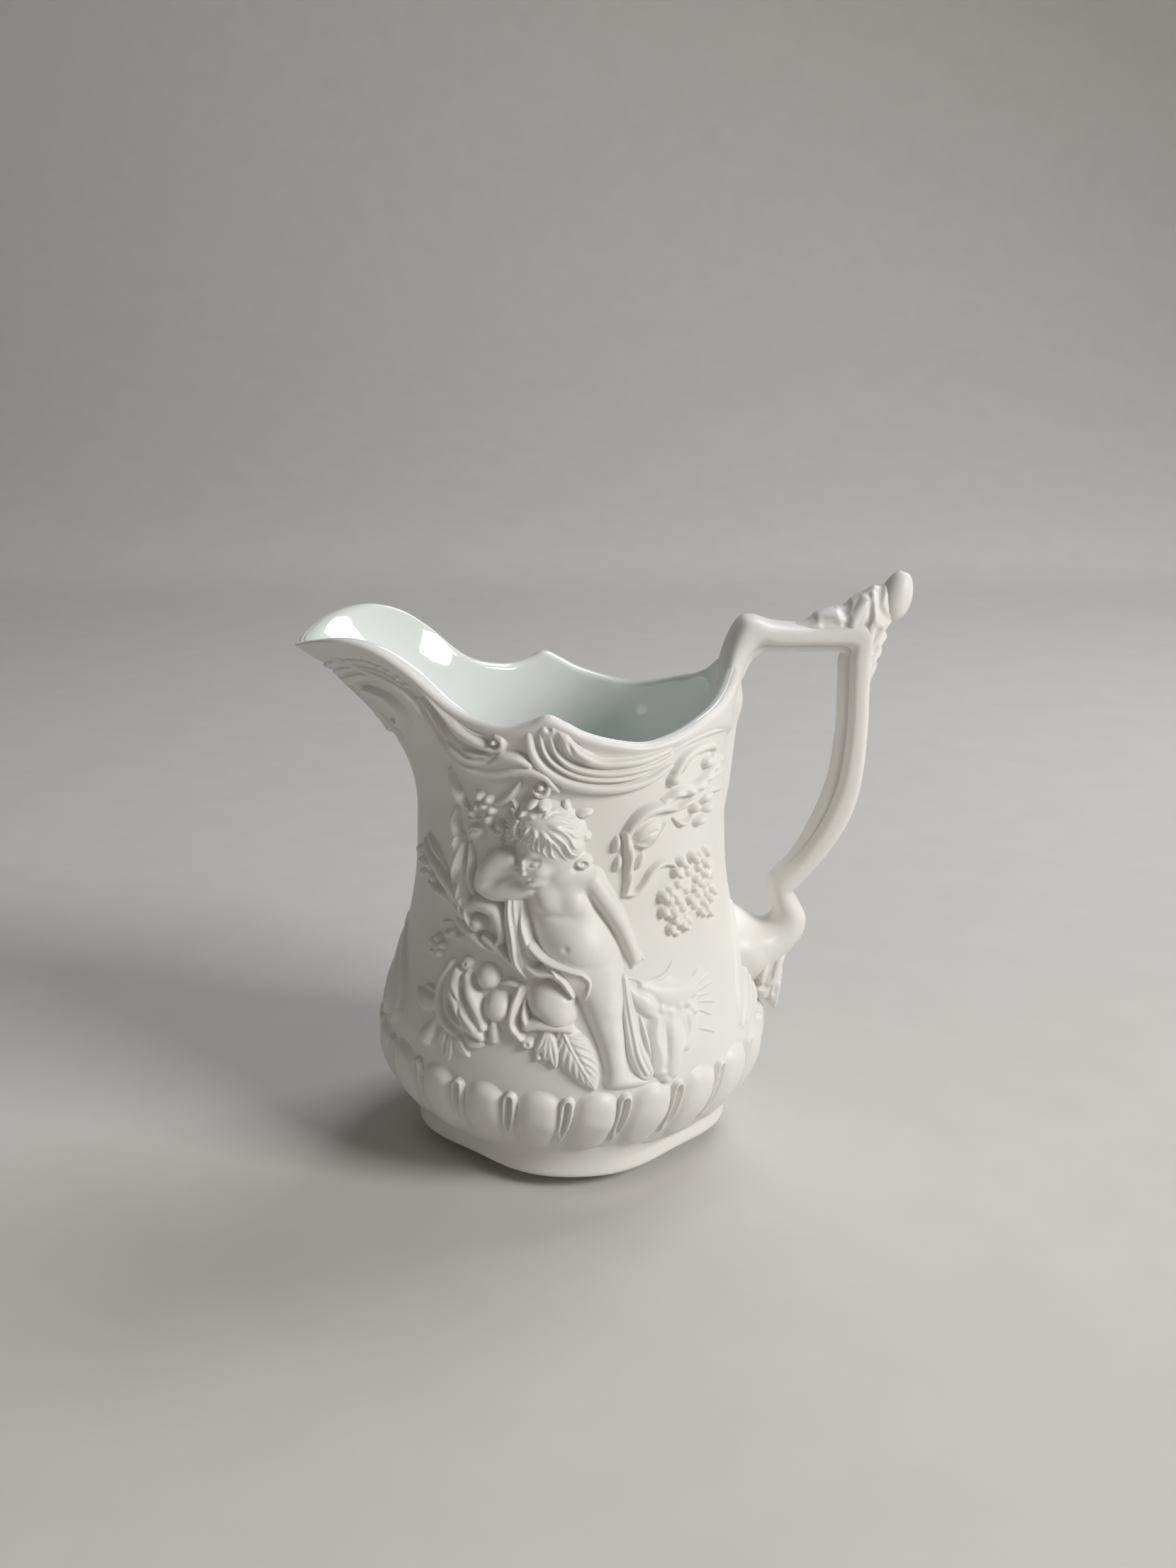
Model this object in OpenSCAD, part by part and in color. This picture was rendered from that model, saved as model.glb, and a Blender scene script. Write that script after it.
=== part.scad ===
// Cream jug with moulded relief, a lipped spout and a square-shouldered handle.
// Origin: centre of the foot's underside. +Z up, spout towards -X, handle towards +X.

/* [Body] */
// Thickness of the body casting
wall = 2.6; // [2:0.1:3]
// Height of the inside floor above the table
floor_z = 9; // [8:0.5:11]
// Thickness of the glaze that lines the inside
glaze = 0.4; // [0.3:0.1:0.6]

/* [Spout] */
// How far the spout's tip reaches past the round of the rim
spout_out = 19; // [14:0.5:22]
// Height at which the spout starts to lean out
spout_z = 68; // [64:1:72]
// Angular half-width of the spout, in degrees
spout_spread = 31.5; // [28:0.5:36]

/* [Foot] */
// Height of the foot ring
foot_h = 5.5; // [4.5:0.5:6]
// Radius of the foot at its four lobes
foot_r = 32.4; // [31:0.2:34]
// How deep the hollows between the lobes are
foot_hollow = 3.2; // [0:0.2:4]
// Radius of the recess under the base
recess_r = 24; // [20:1:26]

/* [Gadroons] */
// Number of eggs round the belly, with a tongue between each two
eggs = 22; // [16:1:24]
// How far an egg stands proud of the belly
egg_high = 1.3; // [0.8:0.1:2]

/* [Handle] */
// Width of the handle's bar, seen from behind
bar_w = 10.5; // [9:0.5:12]
// Width of the narrow rib on the inside of the loop
rib_w = 7; // [5:0.5:8]

/* [Hidden] */

around_n = 48;      // points round the body's rings
foot_n = 96;        // points round the foot
foot_lobes = 4;
wrap_r = 35;        // radius at which distances round the wall are measured
front_a = 270;      // direction of the front, towards -Y
handle_u = 55;      // the handle, in mm round the wall from the front
spout_u = -55;      // the middle of the spout
spout_rise = 33;    // height over which the spout leans out by spout_out
spout_bend = 2.1;   // how suddenly it leans out
bead_fn = 6;        // facets round a small bead of clay
lip_beads = 8;      // beads under the spout's lip, on each side
lip_bead_r = 0.8;
lip_bead_drop = 4.6; // from the rim's crest down to the beads
lip_bead_step = 4.4; // degrees from one bead to the next
tongue_shift = -1.5; // where the first tongue lies, round the wall from the front
egg_w = 3.6;        // half-width of an egg
tongue_w = 1.3;     // half-width of a tongue
tongue_high = 1.2;  // how far a tongue stands proud
band_z = 21.4;      // top of the gadroons at the front
band_rise = 3.6;    // how much higher they reach under the handle
rib_stands = 1.2;   // how far the rib stands into the loop
rib_first = 3;      // the rib's first and last stations along the bar
rib_last = 18;
bisque = [0.93, 0.92, 0.89];
glazed = [0.86, 0.89, 0.87];

// The body's outline: [height, radius]
outline = [
    [5.5, 31.8], [9, 34.8], [14, 37.6], [20, 38.9], [27, 38.5], [35, 36.2],
    [44, 33.7], [54, 31.9], [64, 31.3], [74, 31.2], [84, 31.8], [95, 33.2], [106, 35]
];
// The rim's crest: [degrees from the handle, height]
rim = [
    [0, 97], [12, 96.5], [20, 94], [30, 91.5], [40, 90], [52, 88.2], [65, 87.2],
    [76, 88.2], [87, 90.1], [93, 91.9], [99, 93.3], [105, 92], [111, 91.1],
    [119, 91.3], [130, 93.1], [137, 96], [144, 101], [149, 104.3], [154, 105.6],
    [162, 104.6], [171, 102.6], [180, 101.4]
];
// Heights of the outer and inner rings below the rim's own rings
body_rows = [7.5, 11, 15, 20, 28, 38, 50, 63, 75];
inner_rows = [13, 19, 27, 40, 58, 75];
rim_rows = 5;
lip = 0.8;          // height of the bevel on both sides of the rim's crest

// Smooth curve through a list of [x, y] points
function step_of(k, x, i = 0) = i >= len(k) - 2 || x < k[i + 1][0] ? i : step_of(k, x, i + 1);
function chord(k, i) = (k[i + 1][1] - k[i][1]) / (k[i + 1][0] - k[i][0]);
function slope(k, i) =
    i == 0 ? chord(k, 0) :
    i == len(k) - 1 ? chord(k, i - 1) :
    (chord(k, i - 1) + chord(k, i)) / 2;
function curve(k, x) =
    let(i = step_of(k, x), w = k[i + 1][0] - k[i][0], t = (x - k[i][0]) / w)
    (2 * pow(t, 3) - 3 * t * t + 1) * k[i][1] + (pow(t, 3) - 2 * t * t + t) * w * slope(k, i)
    + (3 * t * t - 2 * pow(t, 3)) * k[i + 1][1] + (pow(t, 3) - t * t) * w * slope(k, i + 1);

// Angle between a direction and the handle (0) or the spout (180), 0 to 180
function from_handle(a) = acos(cos(a));
function rim_z(a) = curve(rim, from_handle(a));
function spout_reach(z) = z > spout_z ? spout_out * pow((z - spout_z) / spout_rise, spout_bend) : 0;
function wall_r(a, z) =
    curve(outline, z) + spout_reach(z) * exp(-pow((180 - from_handle(a)) / spout_spread, 2));
function polar(a, r, z) = [r * cos(a), r * sin(a), z];

// A closed solid through rings of points, with a fan over each end
function mean(p) = [for (k = [0:2]) let(v = [for (q = p) q[k]]) (v * [for (q = v) 1]) / len(v)];
module loft(rings) {
    n = len(rings[0]);
    m = len(rings);
    points = concat([for (r = rings) each r], [mean(rings[0]), mean(rings[m - 1])]);
    sides = [
        for (i = [0:m - 2], j = [0:n - 1])
            let(a = i * n + j, b = i * n + (j + 1) % n)
            each [[a, a + n, b], [b, a + n, b + n]]
    ];
    bottom = [for (j = [0:n - 1]) [n * m, j, (j + 1) % n]];
    top = [for (j = [0:n - 1]) [n * m + 1, (m - 1) * n + (j + 1) % n, (m - 1) * n + j]];
    polyhedron(points, concat(sides, bottom, top));
}

// One ring round the body: inset measures inwards from the wall's face
function flat_ring(z, inset) =
    [for (j = [0:around_n - 1]) let(a = j * 360 / around_n) polar(a, wall_r(a, z) - inset, z)];
// A ring part of the way from the last flat one to the rim, less a drop
function rising_ring(part, inset, drop) =
    let(base = inner_rows[len(inner_rows) - 1])
    [
        for (j = [0:around_n - 1])
            let(a = j * 360 / around_n, z = base + (rim_z(a) - base) * part - drop)
            polar(a, wall_r(a, z) - inset, z)
    ];
function rings_up(inset, rows) = concat(
    [for (z = rows) flat_ring(z, inset)],
    [for (k = [1:rim_rows]) rising_ring(k / rim_rows, inset, k == rim_rows ? lip : 0)]
);
function reversed(list) = [for (i = [len(list) - 1:-1:0]) list[i]];

module body_shell()
    color(bisque) loft(concat(
        [flat_ring(foot_h, 0)], rings_up(0, body_rows), [rising_ring(1, wall / 2, 0)],
        reversed(rings_up(wall, inner_rows)), [flat_ring(floor_z, wall)]
    ));

module glaze_lining()
    color(glazed) loft(concat(
        [flat_ring(floor_z, wall)], rings_up(wall, inner_rows),
        reversed(rings_up(wall + glaze, inner_rows)), [flat_ring(floor_z + glaze, wall + glaze)]
    ));

// Everything inside the wall's outer face, to trim what is pressed on it
module wall_solid()
    loft(concat([flat_ring(foot_h, 0)], rings_up(0, body_rows)));

module foot_ring()
    color(bisque) difference() {
        linear_extrude(foot_h) polygon([
            for (j = [0:foot_n - 1])
                let(a = j * 360 / foot_n, dip = pow((1 - cos(foot_lobes * a)) / 2, 1.5))
                (foot_r - foot_hollow * dip) * [cos(a), sin(a)]
        ]);
        translate([0, 0, -1]) cylinder(h = foot_h + 2, r = recess_r, $fn = foot_n);
    }

// A rounded bead of clay on the wall: [distance round from the front, height, half-width, proud]
module bead(b) {
    a = front_a + b[0] / wrap_r * 180 / PI;
    translate(polar(a, wall_r(a, b[1]), b[1]))
        rotate([0, 0, a]) scale([b[3], b[2], b[2]]) sphere(1, $fn = bead_fn);
}
// A stroke of clay: beads joined one to the next
module stroke(beads)
    for (i = [0:max(0, len(beads) - 2)])
        hull() {
            bead(beads[i]);
            bead(beads[min(i + 1, len(beads) - 1)]);
        }
// Strokes pressed on the wall, with their backs cut to its face
module pressed(strokes)
    color(bisque) union() difference() {
        union() for (s = strokes) stroke(s);
        wall_solid();
    }
module other_side() mirror([0, 1, 0]) children();

// A round dot: a stroke of one bead
function dot(u, z, r, high) = [[u, z, r, high]];

function band_top(a) = band_z + band_rise * pow(cos(a), 2);

module gadroon_eggs()
    color(bisque) union() difference() {
        for (i = [0:eggs - 1])
            let(
                u = tongue_shift + (i + 0.5) * 2 * PI * wrap_r / eggs,
                top = band_top(front_a + u / wrap_r * 180 / PI)
            )
            hull() {
                bead([u, top - 4, egg_w, egg_high]);
                bead([u - 1.4, 11.5, 0.9 * egg_w, egg_high]);
            }
        wall_solid();
    }

module gadroon_tongues()
    color(bisque) union() difference() {
        for (i = [0:eggs - 1])
            let(
                u = tongue_shift + i * 2 * PI * wrap_r / eggs,
                top = band_top(front_a + u / wrap_r * 180 / PI)
            )
            hull() {
                bead([u, top - 2.6, tongue_w, tongue_high]);
                bead([u - 1.4, 12.6, 0.85 * tongue_w, tongue_high]);
            }
        wall_solid();
    }

module rim_scroll() pressed([
    [[-8.5, 89, 1.2, 1.2], [-7, 84.5, 1.3, 1.6], [-2, 80.6, 1.2, 1.8], [8, 79, 1.1, 1.8],
        [17, 80.2, 1.1, 1.6], [22, 82.3, 1, 1.2]],
    [[-5.5, 89.5, 1, 1.2], [-3, 84.5, 1.1, 1.6], [4, 81.3, 1, 1.6], [12, 81.4, 1, 1.4], [20, 83.4, 0.9, 1.2]],
    [[-2.5, 90, 1.3, 1.4], [1, 86, 1.6, 1.8], [8, 83.6, 1.2, 1.6], [18, 84.6, 1, 1.2]],
    [[22, 79.2, 1.1, 1.5], [24, 83, 1.2, 1.6], [29, 84.6, 1.2, 1.6], [35, 83, 1.1, 1.4], [33, 80.8, 1, 1.4]]
]);

module spout_scroll() pressed([
    [[-47, 95.5, 1.2, 1.4], [-39, 96.5, 1.3, 1.5], [-32, 92, 1.3, 1.6], [-28.5, 86, 1.4, 1.8],
        [-23, 81.8, 1.4, 2], [-16, 81.5, 1.3, 2], [-9, 82.3, 1.2, 1.8], [-6, 80, 1.4, 1.8]],
    [[-27, 91, 1.1, 1.4], [-24.5, 87.4, 1.2, 1.6], [-20, 86, 1.2, 1.6], [-15.8, 87.6, 1.5, 1.8]],
    [[-24, 84.3, 1, 1.4], [-18, 83.8, 1.1, 1.5], [-13, 84.2, 1.1, 1.5]]
]);

// A row of beads under the lip of the spout, on both sides
module spout_beading()
    color(bisque) union() difference() {
        for (side = [-1, 1], k = [0:lip_beads - 1])
            let(a = 180 + side * lip_bead_step * (k + 1.9), z = rim_z(a) - lip_bead_drop)
            hull() translate(polar(a, wall_r(a, z), z)) rotate([0, 0, a]) sphere(lip_bead_r, $fn = bead_fn);
        wall_solid();
    }

// Strokes down the middle of the spout: places are measured round the wall from its middle
module spout_cartouche() {
    strokes = [
        [[0, 96, 1.6, 1.2], [3, 92, 1.4, 1.5], [6.5, 87.5, 1.5, 1.6], [6, 82.5, 1.4, 1.4], [2, 80, 1.2, 1.2]],
        [[1, 86, 1.1, 1.2], [3, 84.5, 1.3, 1.4], [1, 77, 1, 1]],
        [[2, 50, 0.8, 0.7], [5, 38, 1.6, 1.2], [7, 28, 2, 1.4], [5, 25, 1.4, 1]]
    ];
    pressed([for (side = [-1, 1], s = strokes) [for (b = s) [spout_u + side * b[0], b[1], b[2], b[3]]]]);
}

// Stations along the handle's bar: [loop side x, z, outer side x, z, share of the bar's width]
handle_stations = [
    [32.2, 70.5, 29.5, 71, 0.5], [34.2, 80, 29.5, 80, 0.95], [35.3, 87, 29.5, 87, 1.2],
    [35.7, 94.5, 29, 96.4, 1.15], [36.8, 98.4, 31.8, 101.5, 1.05],
    [38, 100.4, 34.6, 106, 1.02], [41.5, 100.4, 40.5, 104.7, 1], [46.5, 100.4, 46.5, 104],
    [51.5, 100.4, 52, 104.6], [55.2, 99.8, 60, 104.8], [55.4, 97, 60.2, 98], [55.5, 91, 59.9, 91],
    [55.4, 83, 59.9, 83], [54.5, 74.3, 59.2, 73], [52.8, 68, 57.4, 65.5], [50.1, 62.2, 54.3, 59.5],
    [46.4, 56.6, 50.3, 54], [42, 52.4, 47.3, 50.3], [40.9, 50, 46, 48.6], [41, 47.4, 47.3, 46.2, 0.95],
    [42, 44.4, 48.8, 42.6, 0.95], [42, 42.4, 48.2, 39.4, 0.95], [40.6, 41, 46.3, 36.4, 1],
    [37.6, 41.4, 44.2, 32.8, 1.1], [34.2, 43.4, 41, 29.5, 1.25]
];
function station_w(s) = bar_w / 2 * (len(s) > 4 ? s[4] : 1);
// A rounded section between the station's two edge points
function section(s, half_w, n = 12) =
    let(mid = [s[0] + s[2], s[1] + s[3]] / 2, arm = [s[2] - s[0], s[3] - s[1]] / 2)
    [
        for (j = [0:n - 1])
            let(
                a = 45 + j * 360 / n,
                c = sign(cos(a)) * pow(abs(cos(a)), 0.75),
                w = sign(sin(a)) * pow(abs(sin(a)), 0.75)
            )
            [mid.x + arm.x * c, half_w * w, mid.y + arm.y * c]
    ];
// A bar through the stations, as one solid between each two
module bar(stations, half_w, n = 12)
    for (i = [0:len(stations) - 2])
        hull() loft([
            section(stations[i], half_w[i], n),
            section(stations[i + 1], half_w[i + 1], n)
        ]);
module plain_bar() bar(handle_stations, [for (s = handle_stations) station_w(s)]);
module handle_bar()
    color(bisque) union() difference() {
        plain_bar();
        wall_solid();
    }

// The narrow rib stands into the loop from the bar's inner side
function rib_station(s) =
    let(arm = [s[2] - s[0], s[3] - s[1]], unit = arm / norm(arm))
    [s[0] - rib_stands * unit.x, s[1] - rib_stands * unit.y, s[0] + unit.x, s[1] + unit.y];
module handle_rib()
    color(bisque) union() difference() {
        bar(
            [for (i = [rib_first:rib_last]) rib_station(handle_stations[i])],
            [for (i = [rib_first:rib_last]) rib_w / 2],
            8
        );
        plain_bar();
        wall_solid();
    }

// A lump of clay off the wall: [x, z, radius, half-width across the handle]
module lump(b) translate([b[0], 0, b[1]]) scale([b[2], b[3], b[2]]) sphere(1, $fn = bead_fn);
module lumps(list)
    for (i = [0:len(list) - 2])
        hull() {
            lump(list[i]);
            lump(list[i + 1]);
        }

module thumb_bud()
    color(bisque) hull() {
        translate([64.2, 0, 108.4]) sphere(3.2, $fn = 16);
        translate([65.4, 0, 112.4]) sphere(2.6, $fn = 16);
    }

module thumb_leaves()
    color(bisque) union() difference() {
        union() {
            lumps([[49.5, 104.2, 1.4, 3.2], [52.5, 105.4, 2, 4.2], [57, 106.8, 2.6, 4.6], [61.2, 109.4, 2.6, 3.6]]);
            lumps([[61.2, 108, 2.6, 3.6], [61.8, 104.5, 2, 3.8], [61.4, 100.5, 1.6, 3.4],
                [60.6, 96.5, 1.3, 2.6], [60.2, 92.8, 0.7, 1.6]]);
            for (side = [-1, 1])
                hull() {
                    translate([60, side * 3.4, 106]) sphere(1.6, $fn = bead_fn);
                    translate([61.4, side * 2.8, 100]) sphere(1.2, $fn = bead_fn);
                }
        }
        plain_bar();
        thumb_bud();
    }

module terminal_leaf()
    color(bisque) union() difference() {
        union() {
            lumps([[43.4, 35.8, 2.6, 4.6], [42.6, 31, 2.7, 4.8], [42.9, 26.6, 1.9, 3.4], [43.6, 22.6, 0.8, 1.2]]);
            for (side = [-1, 1])
                hull() {
                    translate([41.4, side * 4.2, 34]) sphere(1.8, $fn = bead_fn);
                    translate([41, side * 5, 27]) sphere(1.2, $fn = bead_fn);
                }
        }
        plain_bar();
        wall_solid();
    }

module handle_blade_leaves() {
    blades = [
        [[50, 43, 1, 0.9], [46, 38, 1.5, 1.2], [42, 31, 1.6, 1.2], [38.5, 26, 0.8, 0.8]],
        [[51, 38, 1, 0.9], [47, 32, 1.6, 1.2], [43, 27.5, 1.4, 1.1], [41, 24.5, 0.7, 0.7]]
    ];
    pressed([
        for (side = [0, 1], blade = blades)
            [for (b = blade) [side == 0 ? b[0] : 2 * handle_u - b[0], b[1], b[2], b[3]]]
    ]);
}

module putto() pressed([
    // Head, hair and neck
    [[-9.5, 64.5, 3.6, 3], [-7.5, 69.5, 5.4, 4.2], [-5, 73.5, 4.2, 3.6]],
    [[-4, 66, 3, 2.4], [-2, 62.5, 3.2, 2.2]],
    // Chest, belly and hips
    [[-3.5, 59.5, 6.2, 2.8], [-1.5, 53, 6.6, 3.2], [1, 48, 6.2, 3.4], [4, 43, 4.6, 3]],
    // Raised arm, with its hand at the cheek
    [[-10, 59, 3, 2.6], [-18, 58.8, 3, 3], [-18.4, 61.5, 3.1, 3], [-13, 65, 2.6, 3]],
    // Lowered arm
    [[2, 61, 3, 2.6], [6.5, 54.5, 2.4, 2.6], [10.5, 48, 1.9, 2.2], [12.4, 45, 1.5, 1.4]],
    // Standing leg and foot
    [[4.5, 42, 4.4, 3], [5.8, 35, 3.4, 2.8], [7.4, 27, 2.5, 2.2], [8.6, 23.6, 2.6, 1.8]],
    [[5.6, 23, 1.8, 1.6], [11.5, 23, 1.7, 1.4]]
]);

module drapery() pressed([
    [[-13, 60, 1.6, 1.8], [-13, 53, 2, 2.4], [-11, 46, 2.2, 2.4], [-8, 43.5, 1.8, 2.4]],
    [[-9, 49.5, 1.4, 2.6], [-5, 46.5, 1.4, 3.4], [1.5, 44.6, 1.6, 3.8], [1.8, 41.5, 1.6, 3.4]],
    [[-7, 44, 1.4, 3], [-3, 42.5, 1.8, 3.4], [0, 41, 1.4, 3.2]],
    [[9.5, 42, 1.2, 1.2], [10.5, 33, 1.6, 1.4], [12, 25, 1.8, 1.2]]
]);

module tree() pressed([
    [[-28, 80, 1, 1.2], [-26.8, 75, 1.6, 1.8], [-27.6, 69, 1.5, 1.8], [-26.5, 62, 2.1, 2.2],
        [-25, 57, 2.1, 2.4], [-23, 53.5, 1.8, 2.2], [-18, 50, 1.4, 1.8], [-13, 46.5, 1.2, 1.6]],
    [[-20.5, 54, 2.2, 2.2], [-16.5, 52.6, 2.4, 2.4]],
    [[-28, 56.5, 1, 1.4], [-34, 60.5, 1.6, 1.6], [-40, 64, 1.4, 1.2]],
    [[-28, 56, 1, 1.2], [-35, 57.5, 1.2, 1.4]]
]);

module blossoms() pressed(concat(
    [for (k = [0:4]) dot(-19.5 + 2.5 * cos(72 * k), 75 + 2.3 * sin(72 * k), 1.8, 1.8)],
    [dot(-22, 69, 2.4, 1.8), dot(-2, 76.2, 1.4, 1.4), dot(1.4, 74.4, 1.6, 1.4), dot(1.8, 70.2, 1.6, 1.4)],
    [for (k = [0:2]) dot(-42 + 3 * k, 58.6 - 0.6 * k, 1.7, 1.2)],
    [for (k = [0:3]) dot(-32 + 2 * cos(90 * k), 45 + 1.8 * sin(90 * k), 1.6, 1.4)]
));

module vine_bough() pressed([
    [[10, 58.5, 1.2, 1.4], [10.6, 64, 1.4, 1.8], [11.6, 69, 1.6, 2], [16, 72.6, 2.2, 2.4],
        [23, 75, 1.8, 2.2], [30, 76.6, 1.6, 2], [36, 80, 1.2, 1.6]],
    [[13.5, 66.5, 1, 1.2], [13.4, 60, 1, 1.2], [16, 62.4, 0.9, 1.2], [19.5, 63.4, 0.9, 1.2], [22, 61, 0.8, 1]],
    [[30, 72.6, 2, 1.8], [34, 73, 2, 1.8]],
    [[26, 71.4, 1, 1], [29, 69.4, 1, 1]]
]);

// Grapes in rows that narrow towards the bunch's tip
grape_rows = [3, 4, 4, 4, 3, 2];
module grapes() pressed([
    for (row = [0:len(grape_rows) - 1], k = [0:grape_rows[row] - 1])
        let(across = k - (grape_rows[row] - 1) / 2)
        dot(33 - 2.2 * row + 1.2 * across, 61.5 - 1.4 * row - 2.2 * across, 1.35, 1.7)
]);

module fruit() pressed([
    // Open husk
    [[-24, 43, 2, 2], [-24.5, 38, 3, 2.8], [-21, 33, 2.8, 2.4]],
    // Round fruits
    dot(-17.5, 42, 2.6, 2.2), dot(-15, 37, 2.9, 2.4), dot(-4, 38.5, 4.4, 3.4), dot(-22.8, 43.6, 1.5, 1.6),
    // Pears
    [[-34, 34.6, 1.2, 1], [-30, 33.6, 2.4, 1.8]],
    [[-27.6, 32.4, 1.4, 1.4], [-29, 28, 2.3, 2]],
    // Petals
    [[-24.6, 30, 1.2, 1.2], [-24.6, 25.6, 1.2, 1]],
    [[-22.6, 29.6, 1.2, 1.2], [-20, 26.6, 1, 1]],
    [[-16.5, 33.4, 1, 1.2], [-15.2, 31, 1, 1]]
]);

module foot_leaves() pressed([
    [[-1.5, 35, 1.2, 1.2], [0.2, 30, 2.6, 1.6], [1.6, 26, 2.4, 1.4], [2.8, 22.6, 0.8, 0.9]],
    [[-11.5, 40, 1.2, 1.4], [-11, 34.5, 1.6, 1.8], [-8, 32, 2, 1.8], [-4, 28, 1.6, 1.6]],
    [[-7.5, 34.5, 1.2, 1.4], [-3.5, 31.5, 1.4, 1.4]],
    dot(-6.4, 29.4, 1.2, 1.2)
]);

module hanging_skin() pressed([
    [[11, 42, 0.8, 0.8], [15, 41.2, 0.8, 0.9], [20.5, 44, 0.6, 0.6]],
    [[11.5, 39, 1.6, 1.4], [16, 37.6, 2.4, 1.8], [22, 38.6, 2, 1.4]],
    [[14, 35.4, 2, 1.6], [16, 30.5, 3.4, 2], [16.5, 25, 2.6, 2], [16.4, 23, 1.8, 1.4]],
    [[20, 35.5, 1.6, 1.2], [22, 31, 1.6, 1.2], [19, 26.5, 1.4, 1.2]],
    [[24, 38.5, 1.4, 1], [29, 36.5, 1.2, 0.9]],
    [[25, 35.5, 1.4, 1], [28.6, 33.6, 1.2, 0.8]]
]);

body_shell();
glaze_lining();
foot_ring();
gadroon_eggs();
gadroon_tongues();
rim_scroll();  // rim_scroll_front
other_side() rim_scroll();  // rim_scroll_back
spout_scroll();  // spout_scroll_front
other_side() spout_scroll();  // spout_scroll_back
spout_beading();
spout_cartouche();
handle_bar();
handle_rib();
thumb_bud();
thumb_leaves();
terminal_leaf();
handle_blade_leaves();
putto();  // putto_front
other_side() putto();  // putto_back
drapery();  // drapery_front
other_side() drapery();  // drapery_back
tree();  // tree_front
other_side() tree();  // tree_back
blossoms();  // blossoms_front
other_side() blossoms();  // blossoms_back
vine_bough();  // vine_bough_front
other_side() vine_bough();  // vine_bough_back
grapes();  // grapes_front
other_side() grapes();  // grapes_back
fruit();  // fruit_front
other_side() fruit();  // fruit_back
foot_leaves();  // foot_leaves_front
other_side() foot_leaves();  // foot_leaves_back
hanging_skin();  // hanging_skin_front
other_side() hanging_skin();  // hanging_skin_back
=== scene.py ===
"""Cream jug in unglazed porcelain with moulded relief outside and a pale glaze inside.

Lengths are in millimetres until a mesh is made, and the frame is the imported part's own.
A place on the wall is (u, z): u runs round the wall from the front, measured at radius 35 and
growing towards the handle, and z is the height.
"""

import math

import bmesh
import bpy
import numpy as np
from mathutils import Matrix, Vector


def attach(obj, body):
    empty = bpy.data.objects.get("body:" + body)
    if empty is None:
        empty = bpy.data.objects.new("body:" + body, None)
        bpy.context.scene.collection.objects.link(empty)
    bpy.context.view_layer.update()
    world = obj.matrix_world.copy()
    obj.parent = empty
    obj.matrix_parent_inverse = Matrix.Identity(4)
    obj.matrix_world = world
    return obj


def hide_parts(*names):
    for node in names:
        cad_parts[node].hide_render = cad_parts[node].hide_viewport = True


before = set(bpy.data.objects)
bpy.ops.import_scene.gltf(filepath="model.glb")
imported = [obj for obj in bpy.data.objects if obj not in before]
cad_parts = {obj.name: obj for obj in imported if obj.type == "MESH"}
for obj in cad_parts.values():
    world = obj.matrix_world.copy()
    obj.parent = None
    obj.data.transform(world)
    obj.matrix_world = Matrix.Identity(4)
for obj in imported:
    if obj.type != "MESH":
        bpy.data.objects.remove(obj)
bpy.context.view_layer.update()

MM = 0.001            # in metres

# ---------------------------------------------------------------- the body's driving sizes

WALL = 2.6            # thickness of the casting
FLOOR_Z = 9.0         # inside floor
FLOOR_BEND = 4        # radius of the corner between the inside of the wall and the floor
FLOOR_HUB = 4         # radius of the floor's middle
GLAZE = 0.18          # how far the glaze stands off the clay inside
SPOUT_Z = 68.0        # where the spout leaves the wall
SPOUT_RISE = 33       # height over which it grows out by SPOUT_OUT
SPOUT_OUT = 19.0
SPOUT_BEND = 2.1      # 1 is a straight slope, more bends out later
SPOUT_SPREAD = 31.5   # degrees to each side
FOOT_H = 5.5          # height of the foot ring
FOOT_R = 32.4         # out to its lobes
FOOT_LOBES = 4
FOOT_HOLLOW = 3.2     # how far it is drawn in between the lobes
FOOT_JOINT_Z = 7.2    # where it runs out on the wall
RECESS_R = 24.0       # hollow under the floor
EGGS = 22             # round the belly, with as many tongues
WRAP_R = 35.0         # radius at which u is measured
SPOUT_U = -55.0       # middle of the spout
HANDLE_U = 55.0       # middle of the handle
HANDLE_W = 10.5       # across the bar
RIB_W = 6.0           # across the rib inside the handle's loop

# Outer face of the wall: (height, radius)
OUTLINE = [
    (5.5, 31.8), (9, 34.8), (14, 37.6), (20, 38.9), (27, 38.5), (35, 36.2), (44, 33.7),
    (54, 31.9), (64, 31.3), (74, 31.2), (84, 31.8), (95, 33.2), (106, 35),
]
# Crest of the rim: (degrees from the handle, height)
RIM = [
    (0, 97), (12, 96.5), (20, 94), (30, 91.5), (40, 90), (52, 88.2), (65, 87.2), (76, 88.2),
    (87, 90.1), (93, 91.9), (99, 93.3), (105, 92), (111, 91.1), (119, 91.3), (130, 93.1),
    (137, 96), (144, 101), (149, 104.3), (154, 105.6), (162, 104.6), (171, 102.6), (180, 101.4),
]
# Lower edge of the smooth band that follows the rim's crest: (degrees from the handle, height)
BAND_LOW = [
    (0, 83), (12, 84), (20, 85.4), (30, 86.6), (40, 86.8), (52, 86), (65, 85.6), (76, 86.2), (87, 87.9),
    (93, 89.5), (99, 90.8), (105, 89.4), (111, 88.7), (119, 88.8), (130, 90.4), (137, 93), (144, 97.2),
    (149, 100.4), (154, 101.9), (162, 101.2), (171, 99.2), (180, 98),
]

# ---------------------------------------------------------------- curves and the wall's shape


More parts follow.
